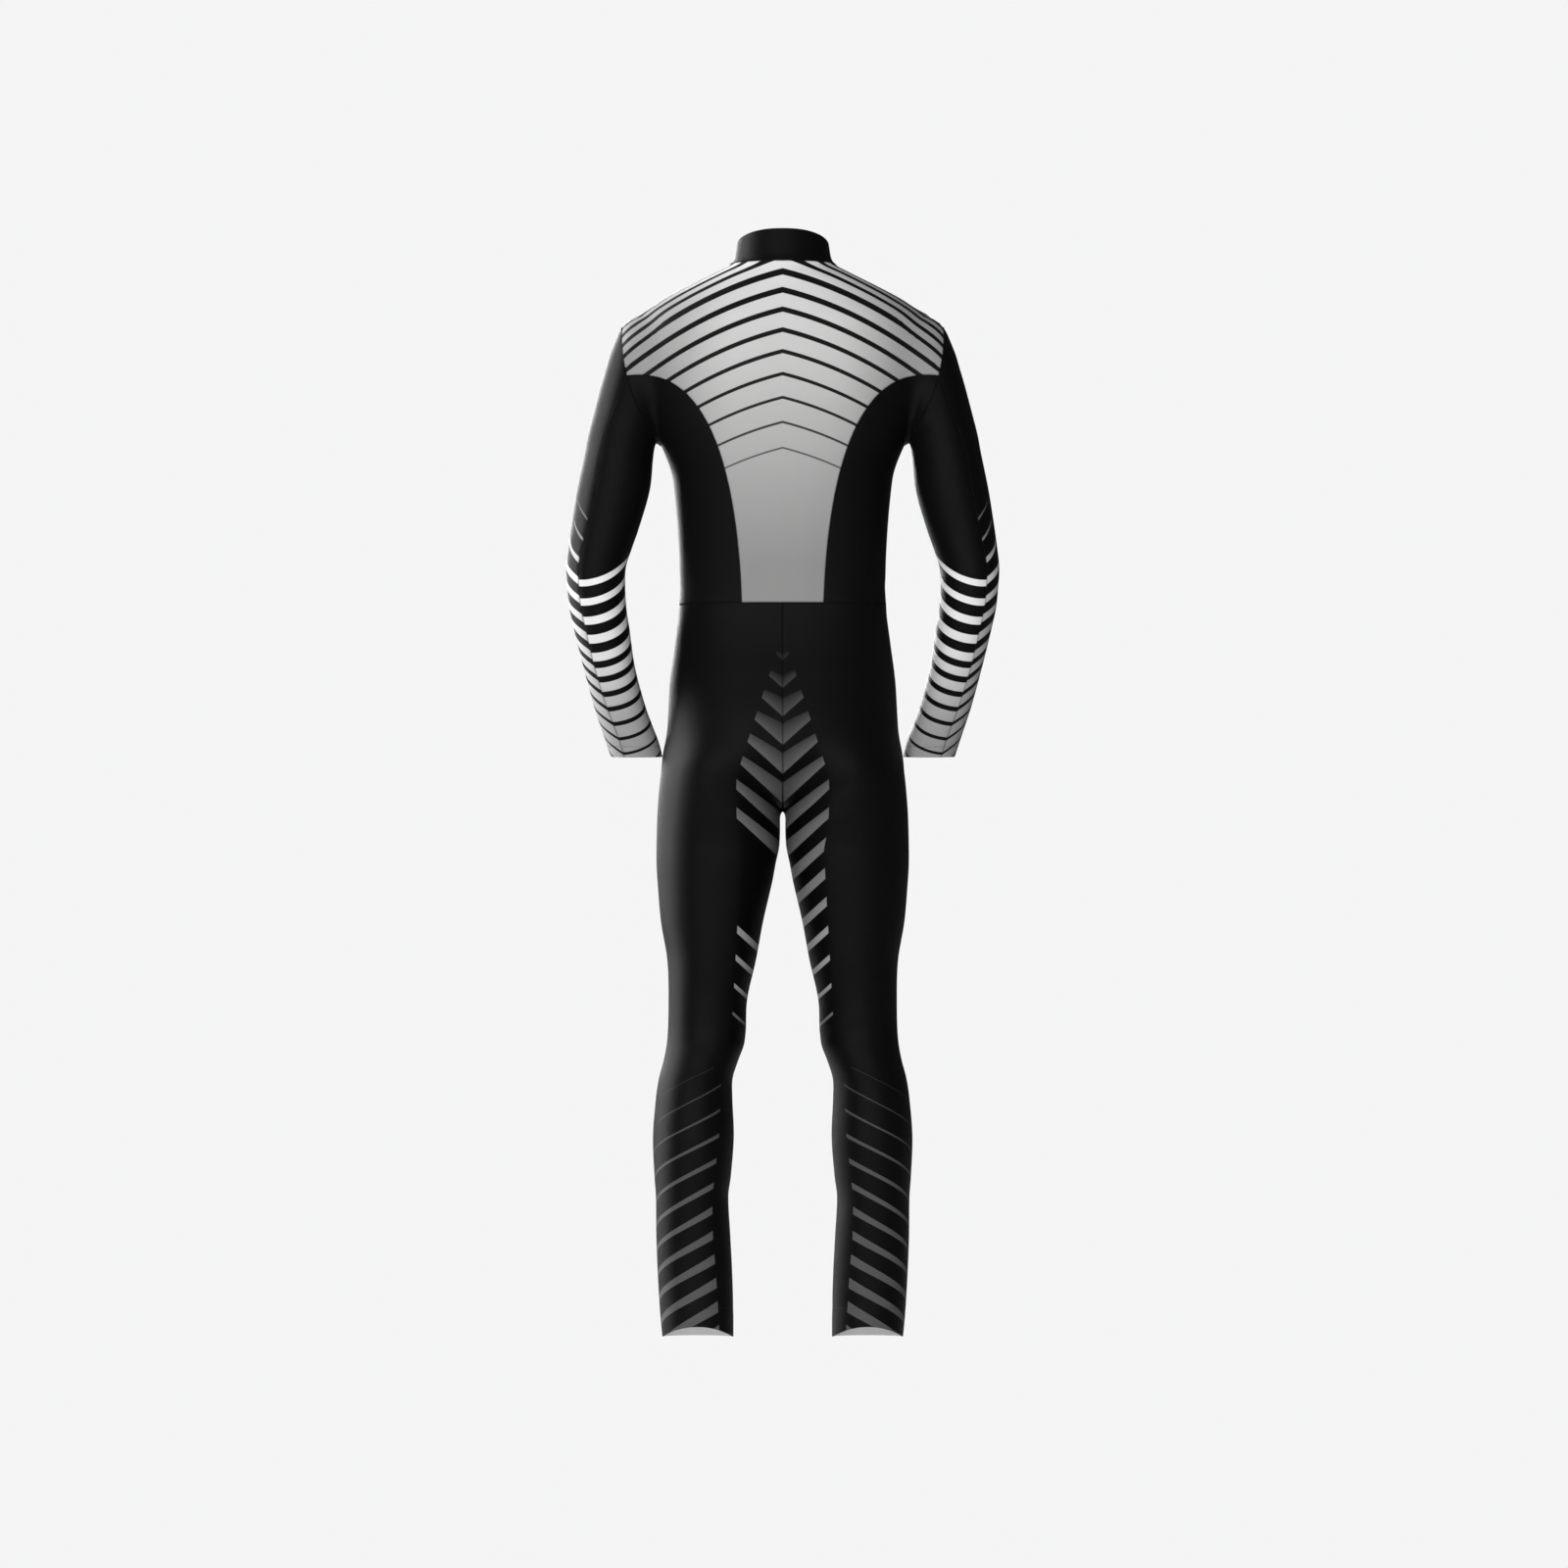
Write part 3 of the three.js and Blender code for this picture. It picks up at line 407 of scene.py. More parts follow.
def finer(count):
    """Weights that divide each cell of a line into FINE along a smooth curve through its points."""
    fine = np.arange(count * FINE + 1) / FINE
    cell = np.minimum(fine.astype(int), count - 1)
    t = fine - cell
    weights = np.zeros((len(fine), count + 1))
    cubic = (
        -0.5 * t + t**2 - 0.5 * t**3,
        1 - 2.5 * t**2 + 1.5 * t**3,
        0.5 * t + 2 * t**2 - 1.5 * t**3,
        -0.5 * t**2 + 0.5 * t**3,
    )
    for offset, share in zip((-1, 0, 1, 2), cubic):
        np.add.at(weights, (np.arange(len(fine)), np.clip(cell + offset, 0, count)), share)
    return weights


def evened(grid, passes):
    """Moves the inner points along the form until the grid's lines are even and don't cross.

    Each point goes to the mean of its neighbours, weighted by a = |down|^2 across and c = |across|^2 down,
    less b = across . down times the twist of the cell (Winslow's smoothing).
    """
    for _ in range(passes):
        across = (grid[1:-1, 2:] - grid[1:-1, :-2]) / 2
        down = (grid[2:, 1:-1] - grid[:-2, 1:-1]) / 2
        twist = (grid[2:, 2:] - grid[2:, :-2] - grid[:-2, 2:] + grid[:-2, :-2]) / 4
        pairs = ((down, down), (across, down), (across, across))
        a, b, c = ((p * q).sum(-1, keepdims=True) for p, q in pairs)
        mean = a * (grid[1:-1, 2:] + grid[1:-1, :-2]) + c * (grid[2:, 1:-1] + grid[:-2, 1:-1]) - 2 * b * twist
        grid[1:-1, 1:-1] = onto(mean / np.maximum(2 * (a + c), 1e-9), 1)
    return grid


def patch(top, right, bottom, left):
    """A grid on the form between four lines: evened out on the coarse points, then divided."""
    lines = (top, right, bottom, left)
    grid = spanned(*(line[::FINE] for line in lines))
    grid[1:-1, 1:-1] = onto(grid[1:-1, 1:-1])
    grid = evened(grid, 120)
    rows, columns = finer(grid.shape[0] - 1), finer(grid.shape[1] - 1)
    fine = np.einsum("ra,abk,cb->rck", rows, grid, columns)
    edges = (fine[0], fine[:, -1], fine[-1], fine[:, 0])
    fine = onto(fine + spanned(*(line - edge for line, edge in zip(lines, edges))))
    fine[0], fine[-1], fine[:, 0], fine[:, -1] = top, bottom, left, right
    return evened(fine, 12)


MIRROR = np.array([-1.0, 1.0, 1.0])


def both_halves(grid):
    """Joins a grid that starts at the middle line to its own mirror image."""
    return np.concatenate([(grid * MIRROR)[:, :0:-1], grid], axis=1)


def back_panel_grid():
    neck = neck_point(BACK_TURNS, neckline_z(BACK_TURNS))
    side = np.concatenate([shoulder_line, armhole_back[1:], funnel_line[1:]])
    middle = level_ray(0, 0, np.linspace(0, WAIST_Z, len(side)), 0)
    middle[0] = neck[0]
    waist = level_ray(span(0, FUNNEL_FOOT, NECK_CELLS), 0, WAIST_Z, 0)
    waist[0], waist[-1] = middle[-1], side[-1]
    return both_halves(patch(neck, side, waist, middle))


def side_back_grid():
    first = math.degrees(math.atan2(FUNNEL_FOOT, -funnel_line[-1, 1]))
    waist = level_ray(0, 0, WAIST_Z, span(first, 90, HOLE_UNDER))
    waist[0], waist[-1] = funnel_line[-1], side_line[-1]
    return patch(armhole_under, side_line, waist, funnel_line)


def front_grid():
    neck = neck_point(FRONT_TURNS, neckline_z(FRONT_TURNS))[::-1]
    side = np.concatenate([shoulder_line, armhole_front[1:], side_line[1:]])
    edge = level_ray(FRONT_EDGE, 0, np.linspace(neck[0, 2], WAIST_Z, len(side)), 180)
    edge[0] = neck[0]
    first = 180 - math.degrees(math.atan2(FRONT_EDGE, edge[-1, 1]))
    waist = level_ray(0, 0, WAIST_Z, span(first, 90, NECK_CELLS))
    waist[0], waist[-1] = edge[-1], side_line[-1]
    return patch(neck, side, waist, edge)


def collar_grid():
    turns = np.append(BACK_TURNS, FRONT_TURNS[1:])
    share = span(1, 0, COLLAR_CELLS)[:, None]
    z = neckline_z(turns) + (collar_top_z(turns) - neckline_z(turns)) * share
    return both_halves(neck_point(np.broadcast_to(turns, z.shape), z))


def sleeve_grid():
    """The whole sleeve from armhole to cuff; its first and last columns are the elbow seam."""
    corners = (TURN_ELBOW, TURN_SHOULDER, TURN_FRONT, TURN_UNDER, TURN_ELBOW + 360)
    cells = (HOLE_BACK, HOLE_FRONT - 3, 3, HOLE_UNDER)
    parts = [span(a, b, n)[1:] for a, b, n in zip(corners, corners[1:], cells)]
    turns = np.concatenate([[TURN_ELBOW], *parts])
    middle_z = span(SLEEVE_TOP_Z, CUFF_Z, SLEEVE_CELLS)[:, None]
    lift = SLEEVE_LIFT * np.clip((middle_z - ELBOW_Z) / (SLEEVE_TOP_Z - ELBOW_Z), 0, 1)
    drop = CUFF_DROP * np.clip((ELBOW_Z - middle_z) / (ELBOW_Z - CUFF_Z), 0, 1)
    z = middle_z + lift * np.sin(np.radians(turns)) - drop * np.cos(np.radians(turns))
    inner, outer, y, _ = at_height(ARM, z)
    rings = level_ray((inner + outer) / 2, y, z, np.broadcast_to(turns, z.shape))
    hole = np.concatenate([armhole_back[::-1], armhole_front[1:], armhole_under[::-1][1:]])
    t = span(0, 1, CAP_CELLS)[:, None, None]
    cap = onto(hole[None] * (1 - t) + rings[:1] * t)
    cap[0] = hole
    return np.concatenate([cap[:-1], rings])


def leg_grid(side):
    """One leg panel from waist to hem, side -1 behind and 1 in front.

    Its inner edge runs down the middle to the seat, turns under the crotch onto the inner leg and goes on
    to the hem. The rows slope from that edge to the side seam and are level from the crotch down.
    """
    above = LEG_SEAT + LEG_CURVE
    row = span(0, above, above)[:, None]
    t = span(0, 1, LEG_ACROSS)[None]
    bend = np.clip((row - LEG_SEAT) / LEG_CURVE, 0, 1)
    slot = FRONT_EDGE * np.clip(LEG_SEAT - row, 0, 1)
    start_x = (slot if side > 0 else np.zeros_like(row))[:, 0]
    start_z = WAIST_Z + (SEAT_Z - WAIST_Z) * np.clip(row[:, 0] / LEG_SEAT, 0, 1)
    turn = np.radians(bend[:, 0] * 90)

    def path(s):
        return np.stack([start_x, side * s * np.cos(turn), start_z - s * np.sin(turn)], -1)

    start = leaving(path, len(start_x))
    start[-1, 1] = 0
    outer_z = WAIST_Z + (CROTCH_Z - WAIST_Z) * row / above
    inner, outer = at_height(LEG, CROTCH_Z)[:2]
    x = (inner + outer) / 2 * bend
    first = np.degrees(np.arctan2(start[:, :1] - x, np.abs(start[:, 1:2])))
    hip_z = outer_z + (start[:, 2:] - outer_z) * (1 - t) ** 1.5
    hip_turn = first + (90 - first) * t
    hip = level_ray(x + 0 * t, 0, hip_z, 180 - hip_turn if side > 0 else hip_turn)
    hip[:, 0] = start

    row = span(0, LEG_DOWN, LEG_DOWN)[1:, None]
    level = CROTCH_Z + (HEM_Z - CROTCH_Z) * row / LEG_DOWN
    turns = -90 + 180 * t
    notch = HEM_NOTCH * np.cos(np.radians(turns)) ** 2 * np.clip(row - LEG_DOWN + 1, 0, 1)
    z = level + (notch if side < 0 else 0 * notch)
    early = np.clip(1 - row, 0, 1)
    z = z + (hip_z[-1] - CROTCH_Z) * early
    turns = turns + (hip_turn[-1] - turns) * early
    inner, outer, y, _, _ = at_height(LEG, level)
    down = level_ray((inner + outer) / 2 + 0 * t, y + 0 * t, z, 180 - turns if side > 0 else turns)
    return np.concatenate([hip, down])


# Creases: soft uneven troughs and ridges, given one by one. Each row has x and z of both ends, width, height
# (negative for a trough), and where it lies: on the back, the front or both.
CREASES = [
    (196, -232, 158, -222, 9, -0.7, "both"),
    (204, -254, 176, -250, 10, 0.5, "both"),
    (176, -198, 128, -176, 10, -0.9, "back"),
    (146, -246, 120, -268, 10, -0.8, "back"),
    (206, -432, 250, -416, 8, -1.3, "front"),
    (205, -448, 256, -447, 9, 1.0, "front"),
    (206, -466, 246, -482, 8, -1.1, "front"),
    (134, -428, 84, -436, 9, -0.7, "both"),
    (134, -452, 70, -462, 11, 0.7, "both"),
    (12, -716, 92, -690, 11, -1.3, "back"),
    (10, -742, 84, -728, 11, 0.9, "back"),
    (8, -700, 96, -650, 11, -1.2, "front"),
    (10, -722, 104, -700, 11, 0.9, "front"),
    (52, -1016, 132, -1006, 9, -1.1, "back"),
    (54, -1034, 140, -1031, 9, 0.8, "back"),
    (60, -1052, 128, -1062, 9, -0.9, "back"),
    (70, -1372, 128, -1364, 8, -0.6, "both"),
    (178, -612, 226, -604, 8, -0.5, "both"),
]


def creases(p):
    """Height of the cloth over the form: Gauss hills along short lines, fading out at their ends.

    along runs from 0 to 1 down a line and apart is the distance from it. Each line sways by 2.5 mm, is up
    to 30 % higher or lower on its way, and differs by 40 % between left and right.
    """
    x, y, z = np.abs(p[..., 0]), p[..., 1], p[..., 2]
    height = np.zeros(x.shape)
    for x0, z0, x1, z1, width, size, side in CREASES:
        run = math.hypot(x1 - x0, z1 - z0)
        along = ((x - x0) * (x1 - x0) + (z - z0) * (z1 - z0)) / run**2
        apart = ((z - z0) * (x1 - x0) - (x - x0) * (z1 - z0)) / run
        sway = apart + 2.5 * np.sin(along * 5.1 + x0)
        ends = 1 / (1 + np.exp(-9 * (along + 0.05))) / (1 + np.exp(9 * (along - 1.0)))
        share = 1.0 if side == "both" else 1 / (1 + np.exp((y if side == "back" else -y) / 12))
        uneven = 1 + 0.3 * np.sin(along * 3.3 + z0) + 0.2 * np.sign(p[..., 0])
        height += size * np.exp(-((sway / width) ** 2)) * ends * share * uneven
    return height


# Meshes.


def mesh_object(name, points, faces, materials, face_material=None):
    """A smooth object from points in millimetres and quads."""
    mesh = bpy.data.meshes.new(name)
    mesh.from_pydata((points / 1000).tolist(), [], faces.tolist())
    mesh.validate()
    for material in materials:
        mesh.materials.append(material)
    mesh.polygons.foreach_set("use_smooth", np.full(len(mesh.polygons), True))
    if face_material is not None:
        mesh.polygons.foreach_set("material_index", face_material)
    obj = bpy.data.objects.new(name, mesh)
    bpy.context.collection.objects.link(obj)
    return obj


def grid_quads(rows, columns):
    """The faces of a grid whose points are listed row by row."""
    a = (np.arange(rows - 1)[:, None] * columns + np.arange(columns - 1)).ravel()
    return np.stack([a, a + 1, a + 1 + columns, a + columns], -1)


def rim_loop(rows, columns):
    """The grid's border points, once round."""
    index = np.arange(rows * columns).reshape(rows, columns)
    return np.concatenate([index[0, :-1], index[:-1, -1], index[-1, :0:-1], index[:0:-1, 0]])


def shell(name, grid, normals, thick, materials, sink=(0, 0, 0, 0), values=None, faced=0):
    """A closed cloth shell on the form: outer face, inner face and rim; sink lowers the named edges.

    The outer face is grid + normal * (crease - sink), the inner one lies a cloth's thickness below it.
    sink is for top, right, bottom and left; values are numbers for every grid point, by name. The first
    columns, as many as are faced, show the outer cloth on the reverse too.
    """
    rows, columns = grid.shape[:2]
    lift = creases(grid)
    lift[0] -= sink[0]
    lift[:, -1] -= sink[1]
    lift[-1] -= sink[2]
    lift[:, 0] -= sink[3]
    outer = grid + normals * lift[..., None]
    inner = outer - normals * thick
    quads = grid_quads(rows, columns)
    rim = rim_loop(rows, columns)
    nxt = np.roll(rim, -1)
    under = rows * columns
    sides = np.stack([rim, rim + under, nxt + under, nxt], -1)
    faces = np.concatenate([quads, quads[:, ::-1] + under, sides])
    points = np.concatenate([outer.reshape(-1, 3), inner.reshape(-1, 3)])
    row, column = rows // 2, columns // 2
    along, down = outer[row, column + 1] - grid[row, column], outer[row + 1, column] - grid[row, column]
    if np.dot(np.cross(along, down), normals[row, column]) < 0:
        faces = faces[:, ::-1]
    reverse_side = np.ones((rows - 1, columns - 1))
    reverse_side[:, :faced] = 0
    kind = np.concatenate([np.zeros(len(quads)), reverse_side.ravel(), np.zeros(len(sides))])
    obj = mesh_object(name, points, faces, materials, kind.astype(np.int32))
    mesh = obj.data
    on_rim = np.zeros(len(points), np.int8)
    on_rim[rim], on_rim[rim + under] = 1, 2
    ends = np.empty(len(mesh.edges) * 2, np.int32)
    mesh.edges.foreach_get("vertices", ends)
    first, last = on_rim[ends[::2]], on_rim[ends[1::2]]
    sharp = mesh.attributes.new("sharp_edge", "BOOLEAN", "EDGE")
    sharp.data.foreach_set("value", (first == last) & (first > 0))
    for key, value in (values or {}).items():
        layer = mesh.attributes.new(key, "FLOAT", "POINT")
        layer.data.foreach_set("value", np.tile(np.asarray(value, np.float32).ravel(), 2))
    u = np.pad(np.cumsum(np.linalg.norm(np.diff(grid, axis=1), axis=-1), 1), ((0, 0), (1, 0)))
    v = np.pad(np.cumsum(np.linalg.norm(np.diff(grid, axis=0), axis=-1), 0), ((1, 0), (0, 0)))
    u = u - u[:, column : column + 1]
    flat = np.tile(np.stack([u, -v], -1).reshape(-1, 2) / 1000, (2, 1))
    corner = np.empty(len(mesh.loops), np.int32)
    mesh.loops.foreach_get("vertex_index", corner)
    layer = mesh.uv_layers.new(name="cloth")
    layer.data.foreach_set("uv", flat[corner].astype(np.float32).ravel())
    return obj


# Print, as smooth values over the cloth that the materials turn into crisp stripes:
# phase counts the stripes, half is half a stripe's share of the pitch, inside is the distance in
# millimetres to the end of the stripes, tone the stripe's and ground the cloth's reflectance, and fade how
# much of its tone a stripe loses towards its upper edge. Towards the back panel's armholes and between
# the seat chevrons, ground also holds painted shade.


def grey(level):
    """Reflectance that looks like a grey level of 0 to 255."""
    return ((np.asarray(level, float) / 255 + 0.055) / 1.055) ** 2.4


BLACK = grey(11)
PLAIN = {"phase": 0, "half": 0, "inside": -9, "tone": BLACK, "ground": BLACK, "fade": 0}


def plain(p):
    """The values of unprinted black cloth."""
    return {key: np.full(p.shape[:-1], float(value)) for key, value in PLAIN.items()}


BACK_PITCH, BACK_GROWTH, BACK_FIRST, BACK_LAST = 24.5, 1.2, -15, 8.5
SHOULDER_Y = -56


def back_print(p):
    """Dark chevrons on a light ground that darkens downwards, with painted shade darkening it further towards
    the armholes; each sags more the further out it is.

    k counts them down from the neck: the height z + 0.25 x + 0.00124 x^2 of chevron k is BACK_FIRST less
    BACK_PITCH k less BACK_GROWTH k^2 / 2. On top of the shoulders the way forward is added to the height.
    """
    x, z = np.abs(p[..., 0]), p[..., 2]
    low = z + 0.25 * x + 0.00124 * x**2 + 0.85 * np.maximum(p[..., 1] - SHOULDER_Y, 0)
    square = BACK_PITCH**2 - 2 * BACK_GROWTH * (low - BACK_FIRST)
    k = (np.sqrt(np.maximum(square, 0)) - BACK_PITCH) / BACK_GROWTH
    pitch = BACK_PITCH + BACK_GROWTH * k
    width = np.clip(8.8 - 0.8 * k, 1.8, 9.6)
    # Painted shade: the ground darkens by up to 42 % from 60 to 180 mm out, towards the armholes.
    painted_armhole_shade = np.clip((x - 60) / 120, 0, 1)
    values = plain(p)
    values["phase"] = k
    values["half"] = width / 2 / pitch
    values["inside"] = (BACK_LAST - k) * 12
    values["tone"] = grey(np.interp(k, [5.5, 8.3], [14, 88]))
    ground = grey(np.interp(z, [-400, -200, -60, 0, 40], [134, 173, 210, 228, 232]))
    values["ground"] = ground * (1 - 0.42 * painted_armhole_shade * painted_armhole_shade * (3 - 2 * painted_armhole_shade))
    return values


# How the forearm hoops fall outwards and forwards, and k of the hoops by how low they lie.
HOOP_TILT, HOOP_SMILE = 0.26, 0.48
HOOP_LOW = [40.5, 315.5, 398, 498, 598, 656]
HOOP_COUNT = [-12, -2, 1, 5, 10, 13]


def arm_place(p):
    """Turn round the arm (0 behind, 90 outside) and the tilted height along which the hoops follow."""
    x, y, z = np.abs(p[..., 0]), p[..., 1], p[..., 2]
    inner, outer, middle, deep = at_height(ARM, z)
    dx, dy = x - (inner + outer) / 2, middle - y
    turn = np.degrees(np.arctan2(dx / ((outer - inner) / 2), dy / deep))
    seam = HOOP_TILT * 0.47 * (outer - inner) / 2 + HOOP_SMILE * 0.88 * deep
    return turn, z + HOOP_TILT * dx + HOOP_SMILE * dy, z + seam


def hoop_number(low):
    """Counts the hoops downwards; they lie closer towards the cuff."""
    return np.interp(-low, HOOP_LOW, HOOP_COUNT)


def under_sleeve_print(p):
    """Light hoops round the forearm, each wider than the one above."""
    turn, low, _ = arm_place(p)
    k = hoop_number(low)
    values = plain(p)
    values["phase"] = k
    values["half"] = np.clip(0.165 + 0.0235 * (k - 1), 0.05, 0.42)
    values["inside"] = np.where(k > 0.5, (k - 0.5) * 21.5, -3.0)
    values["tone"] = grey(np.interp(k, [1, 3, 5, 7, 9, 11], [226, 222, 208, 182, 156, 142]))
    return values


def top_sleeve_print(p):
    """Bars outside the elbow seam that climb outwards, thin and dark above the elbow."""
    turn, _, seam = arm_place(p)
    z = p[..., 2]
    climb = np.interp(z, [-430, -385, -340], [0.45, 0.55, 0.8])
    turn = np.where(turn < -90, turn + 360, turn)
    k = hoop_number(seam - climb * (turn - TURN_ELBOW))
    last = np.interp(k, [-1, 1, 3], [66, 96, 128])
    values = plain(p)
    values["phase"] = k
    taper = np.clip((last - turn) / 40, 0, 1)
    half = np.interp(k, [-2, -1, 0, 1, 2, 11], [0.06, 0.08, 0.13, 0.2, 0.2, 0.4])
    values["half"] = half * (0.35 + 0.65 * taper)
    values["inside"] = np.minimum((last - turn) * 0.7, (k + 2.5) * 20)
    # Partly painted shade: below the elbow these bars are set greyer than the hoops that they continue, for
    # the arm's outer side turning away.
    values["tone"] = grey(np.interp(k, [-2, -1, 0, 1, 3, 7, 11], [105, 130, 180, 215, 190, 165, 145]))
    return values


# How far the seat and thigh chevrons reach from the middle, by height.
SEAT_HEIGHTS = [-1070, -990, -774, -739, -679, -512]
SEAT_REACH = [72, 66, 54, 60.5, 60.5, 7]
SEAT_FIRST, SEAT_PITCH, SEAT_RISE, SEAT_LAST = -526, 37.35, 0.9, 15.4
BARE_THIGH = (8.25, 11.3)  # chevrons left out on the left side
CALF_TOP, CALF_SECOND, CALF_PITCH, CALF_TILT = -1052, -1101.7, 31.8, 0.46


def leg_turn(p):
    """Turn round the leg: 0 behind, 90 outside."""
    x, y, z = np.abs(p[..., 0]), p[..., 1], p[..., 2]
    inner, outer, middle, front, back = at_height(LEG, z)
    deep = np.where(y < middle, back, front)
    return np.degrees(np.arctan2((x - (inner + outer) / 2) / ((outer - inner) / 2), (middle - y) / deep))


def leg_print(p):
    """Grey chevrons over the seat and down the inner thighs, and bars round the calves."""
    x, z = np.abs(p[..., 0]), p[..., 2]
    left = p[..., 0] < 0
    turn = leg_turn(p)
    k = 1 + (SEAT_FIRST - (z - SEAT_RISE * x)) / SEAT_PITCH
    reach = np.interp(z, SEAT_HEIGHTS, SEAT_REACH)
    thick = [0.2, 0.42, 0.56, 0.54, 0.47, 0.43, 0.32, 0.21, 0.11]
    thick = np.interp(k, [1, 2, 3, 4, 8, 9, 11, 13, 15], thick)
    narrowing = 0.62 * np.clip(x / reach, 0, 1) * np.clip((9 - k) / 2, 0, 1)
    thick = thick * (1.34 - narrowing - 0.34 * np.clip((k - 7) / 2, 0, 1))
    bare = left & (k > BARE_THIGH[0]) & (k < BARE_THIGH[1])
    off = bare | (k > SEAT_LAST) | (p[..., 1] > 8)
    # Painted shade: within the chevrons' reach, from the third chevron down, the black ground is made up to
    # 60 % darker, standing in for less sheen there.
    painted_seat_shade = np.clip((reach + 6 - x) / 12, 0, 1) * np.clip(k - 3, 0, 1)
    seat = {
        "phase": k + thick / 2,
        "half": thick / 2,
        "inside": np.where(off, -4.0, np.minimum(reach - x, (k - 0.4) * 20)),
        "tone": grey(np.interp(k, [1, 2, 3, 5, 8, 10, 12, 14, 15], [40, 56, 68, 84, 96, 108, 140, 140, 98])),
        "ground": BLACK * (1 - 0.6 * painted_seat_shade),
        "fade": np.interp(k, [1, 4, 7, 9], [0.75, 0.66, 0.4, 0.0]),
    }
    k = 2 + (CALF_SECOND - (z + CALF_TILT * turn)) / CALF_PITCH
    thin = 1 - 0.5 * np.clip((turn + 40) / 130, 0, 1)
    first = np.interp(z, [-1420, -1371, -1282, -1185, -1081], [-38, -36, -32, -36, -45])
    half = np.interp(k, [1, 2, 3, 5, 7, 9, 11], [0.018, 0.034, 0.056, 0.11, 0.16, 0.21, 0.24])
    calf = plain(p) | {
        "phase": k,
        "half": half * thin,
        "inside": np.minimum(np.minimum((turn - first) * 0.84, (140 - turn) * 0.84), (k - 0.5) * 20),
        "tone": grey(np.interp(k, [1, 2, 4, 6, 11], [40, 58, 72, 78, 80])),
    }
    values = {key: np.where(z < CALF_TOP, calf[key], seat[key]) for key in seat}
    values["inside"] = np.where(np.abs(z - CALF_TOP) < 7, -4.0, values["inside"])
    return values


# Materials.


def socket(tree, name, kind):
    """An output of a node group."""
    return tree.interface.new_socket(name, in_out="OUTPUT", socket_type=kind)


def node(tree, kind, **settings):
    made = tree.nodes.new(kind)
    for key, value in settings.items():
        setattr(made, key, value)
    return made


def math_node(tree, operation, a, b=None):
    """A sum of numbers or outputs, as a node; its output."""
    made = node(tree, "ShaderNodeMath", operation=operation)
    for place, value in enumerate((a, b)):
        if value is None:
            continue
        if isinstance(value, (int, float)):
            made.inputs[place].default_value = value
        else:
            tree.links.new(value, made.inputs[place])
    return made.outputs[0]


def stripe_group():
    """Stripes from the print's values: on where the phase is within half of a whole number, and inside."""
    tree = bpy.data.node_groups.new("stripe print", "ShaderNodeTree")
    socket(tree, "Color", "NodeSocketColor")
    socket(tree, "Mask", "NodeSocketFloat")
    link, maths = tree.links.new, partial(math_node, tree)
    value = {}
    for name in PLAIN:
        value[name] = node(tree, "ShaderNodeAttribute", attribute_name=name).outputs["Fac"]
    share = maths("FRACT", maths("ADD", value["phase"], 1000.5))
    offset = maths("SUBTRACT", share, 0.5)
    place = maths("DIVIDE", offset, maths("ADD", value["half"], 0.001))
    upper = maths("MULTIPLY", maths("SUBTRACT", 1.0, place), 0.5)
    lost = maths("MULTIPLY", upper, value["fade"])
    tone = maths("MULTIPLY", value["tone"], maths("SUBTRACT", 1.0, lost))
    edge = maths("DIVIDE", maths("SUBTRACT", value["half"], maths("ABSOLUTE", offset)), 0.012)
    on = node(tree, "ShaderNodeClamp")
    link(maths("ADD", edge, 0.5), on.inputs[0])
    ended = node(tree, "ShaderNodeClamp")
    link(maths("DIVIDE", value["inside"], 0.4), ended.inputs[0])
    mask = maths("MULTIPLY", on.outputs[0], ended.outputs[0])
    mix = node(tree, "ShaderNodeMix", data_type="FLOAT")
    link(mask, mix.inputs["Factor"])
    link(value["ground"], mix.inputs["A"])
    link(tone, mix.inputs["B"])
    tint = node(tree, "ShaderNodeMix", data_type="RGBA")
    tint.inputs["A"].default_value = (0, 0, 0, 1)
    tint.inputs["B"].default_value = (1.0, 0.995, 0.99, 1)
    link(mix.outputs["Result"], tint.inputs["Factor"])
    out = node(tree, "NodeGroupOutput")
    link(tint.outputs["Result"], out.inputs["Color"])
    link(mask, out.inputs["Mask"])
    return tree


WALE, COURSE, LOOP_DEPTH = 0.0009, 0.0007, 0.00008


def knit_group():
    """Height of a fine warp knit: slanting loops in columns a wale apart, from the cloth's own UV."""
    tree = bpy.data.node_groups.new("fine knit", "ShaderNodeTree")
    socket(tree, "Height", "NodeSocketFloat")
    link, maths = tree.links.new, partial(math_node, tree)
    uv = node(tree, "ShaderNodeUVMap", uv_map="cloth")
    parts = node(tree, "ShaderNodeSeparateXYZ")
    link(uv.outputs[0], parts.inputs[0])
    wale = maths("SINE", maths("MULTIPLY", parts.outputs["X"], math.tau / WALE))
    course = maths("MULTIPLY", parts.outputs["Y"], math.tau / COURSE)
    loops = maths("SINE", maths("ADD", course, maths("MULTIPLY", wale, 0.6)))
    height = maths("ADD", maths("MULTIPLY", loops, 0.5), maths("ABSOLUTE", wale))
    out = node(tree, "NodeGroupOutput")
    link(height, out.inputs["Height"])
    return tree


STRIPES = stripe_group()
KNIT = knit_group()


def new_material(name, roughness, specular, color=(0, 0, 0), metallic=0.0):
    """A material with its shader set; also its node tree and that shader."""
    material = bpy.data.materials.new(name)
    material.use_nodes = True
    shader = material.node_tree.nodes["Principled BSDF"]
    shader.inputs["Base Color"].default_value = (*color, 1)
    shader.inputs["Roughness"].default_value = roughness
    shader.inputs["Metallic"].default_value = metallic
    shader.inputs["Specular IOR Level"].default_value = specular
    return material, material.node_tree, shader


def use_group(tree, group):
    made = node(tree, "ShaderNodeGroup")
    made.node_tree = group
    return made


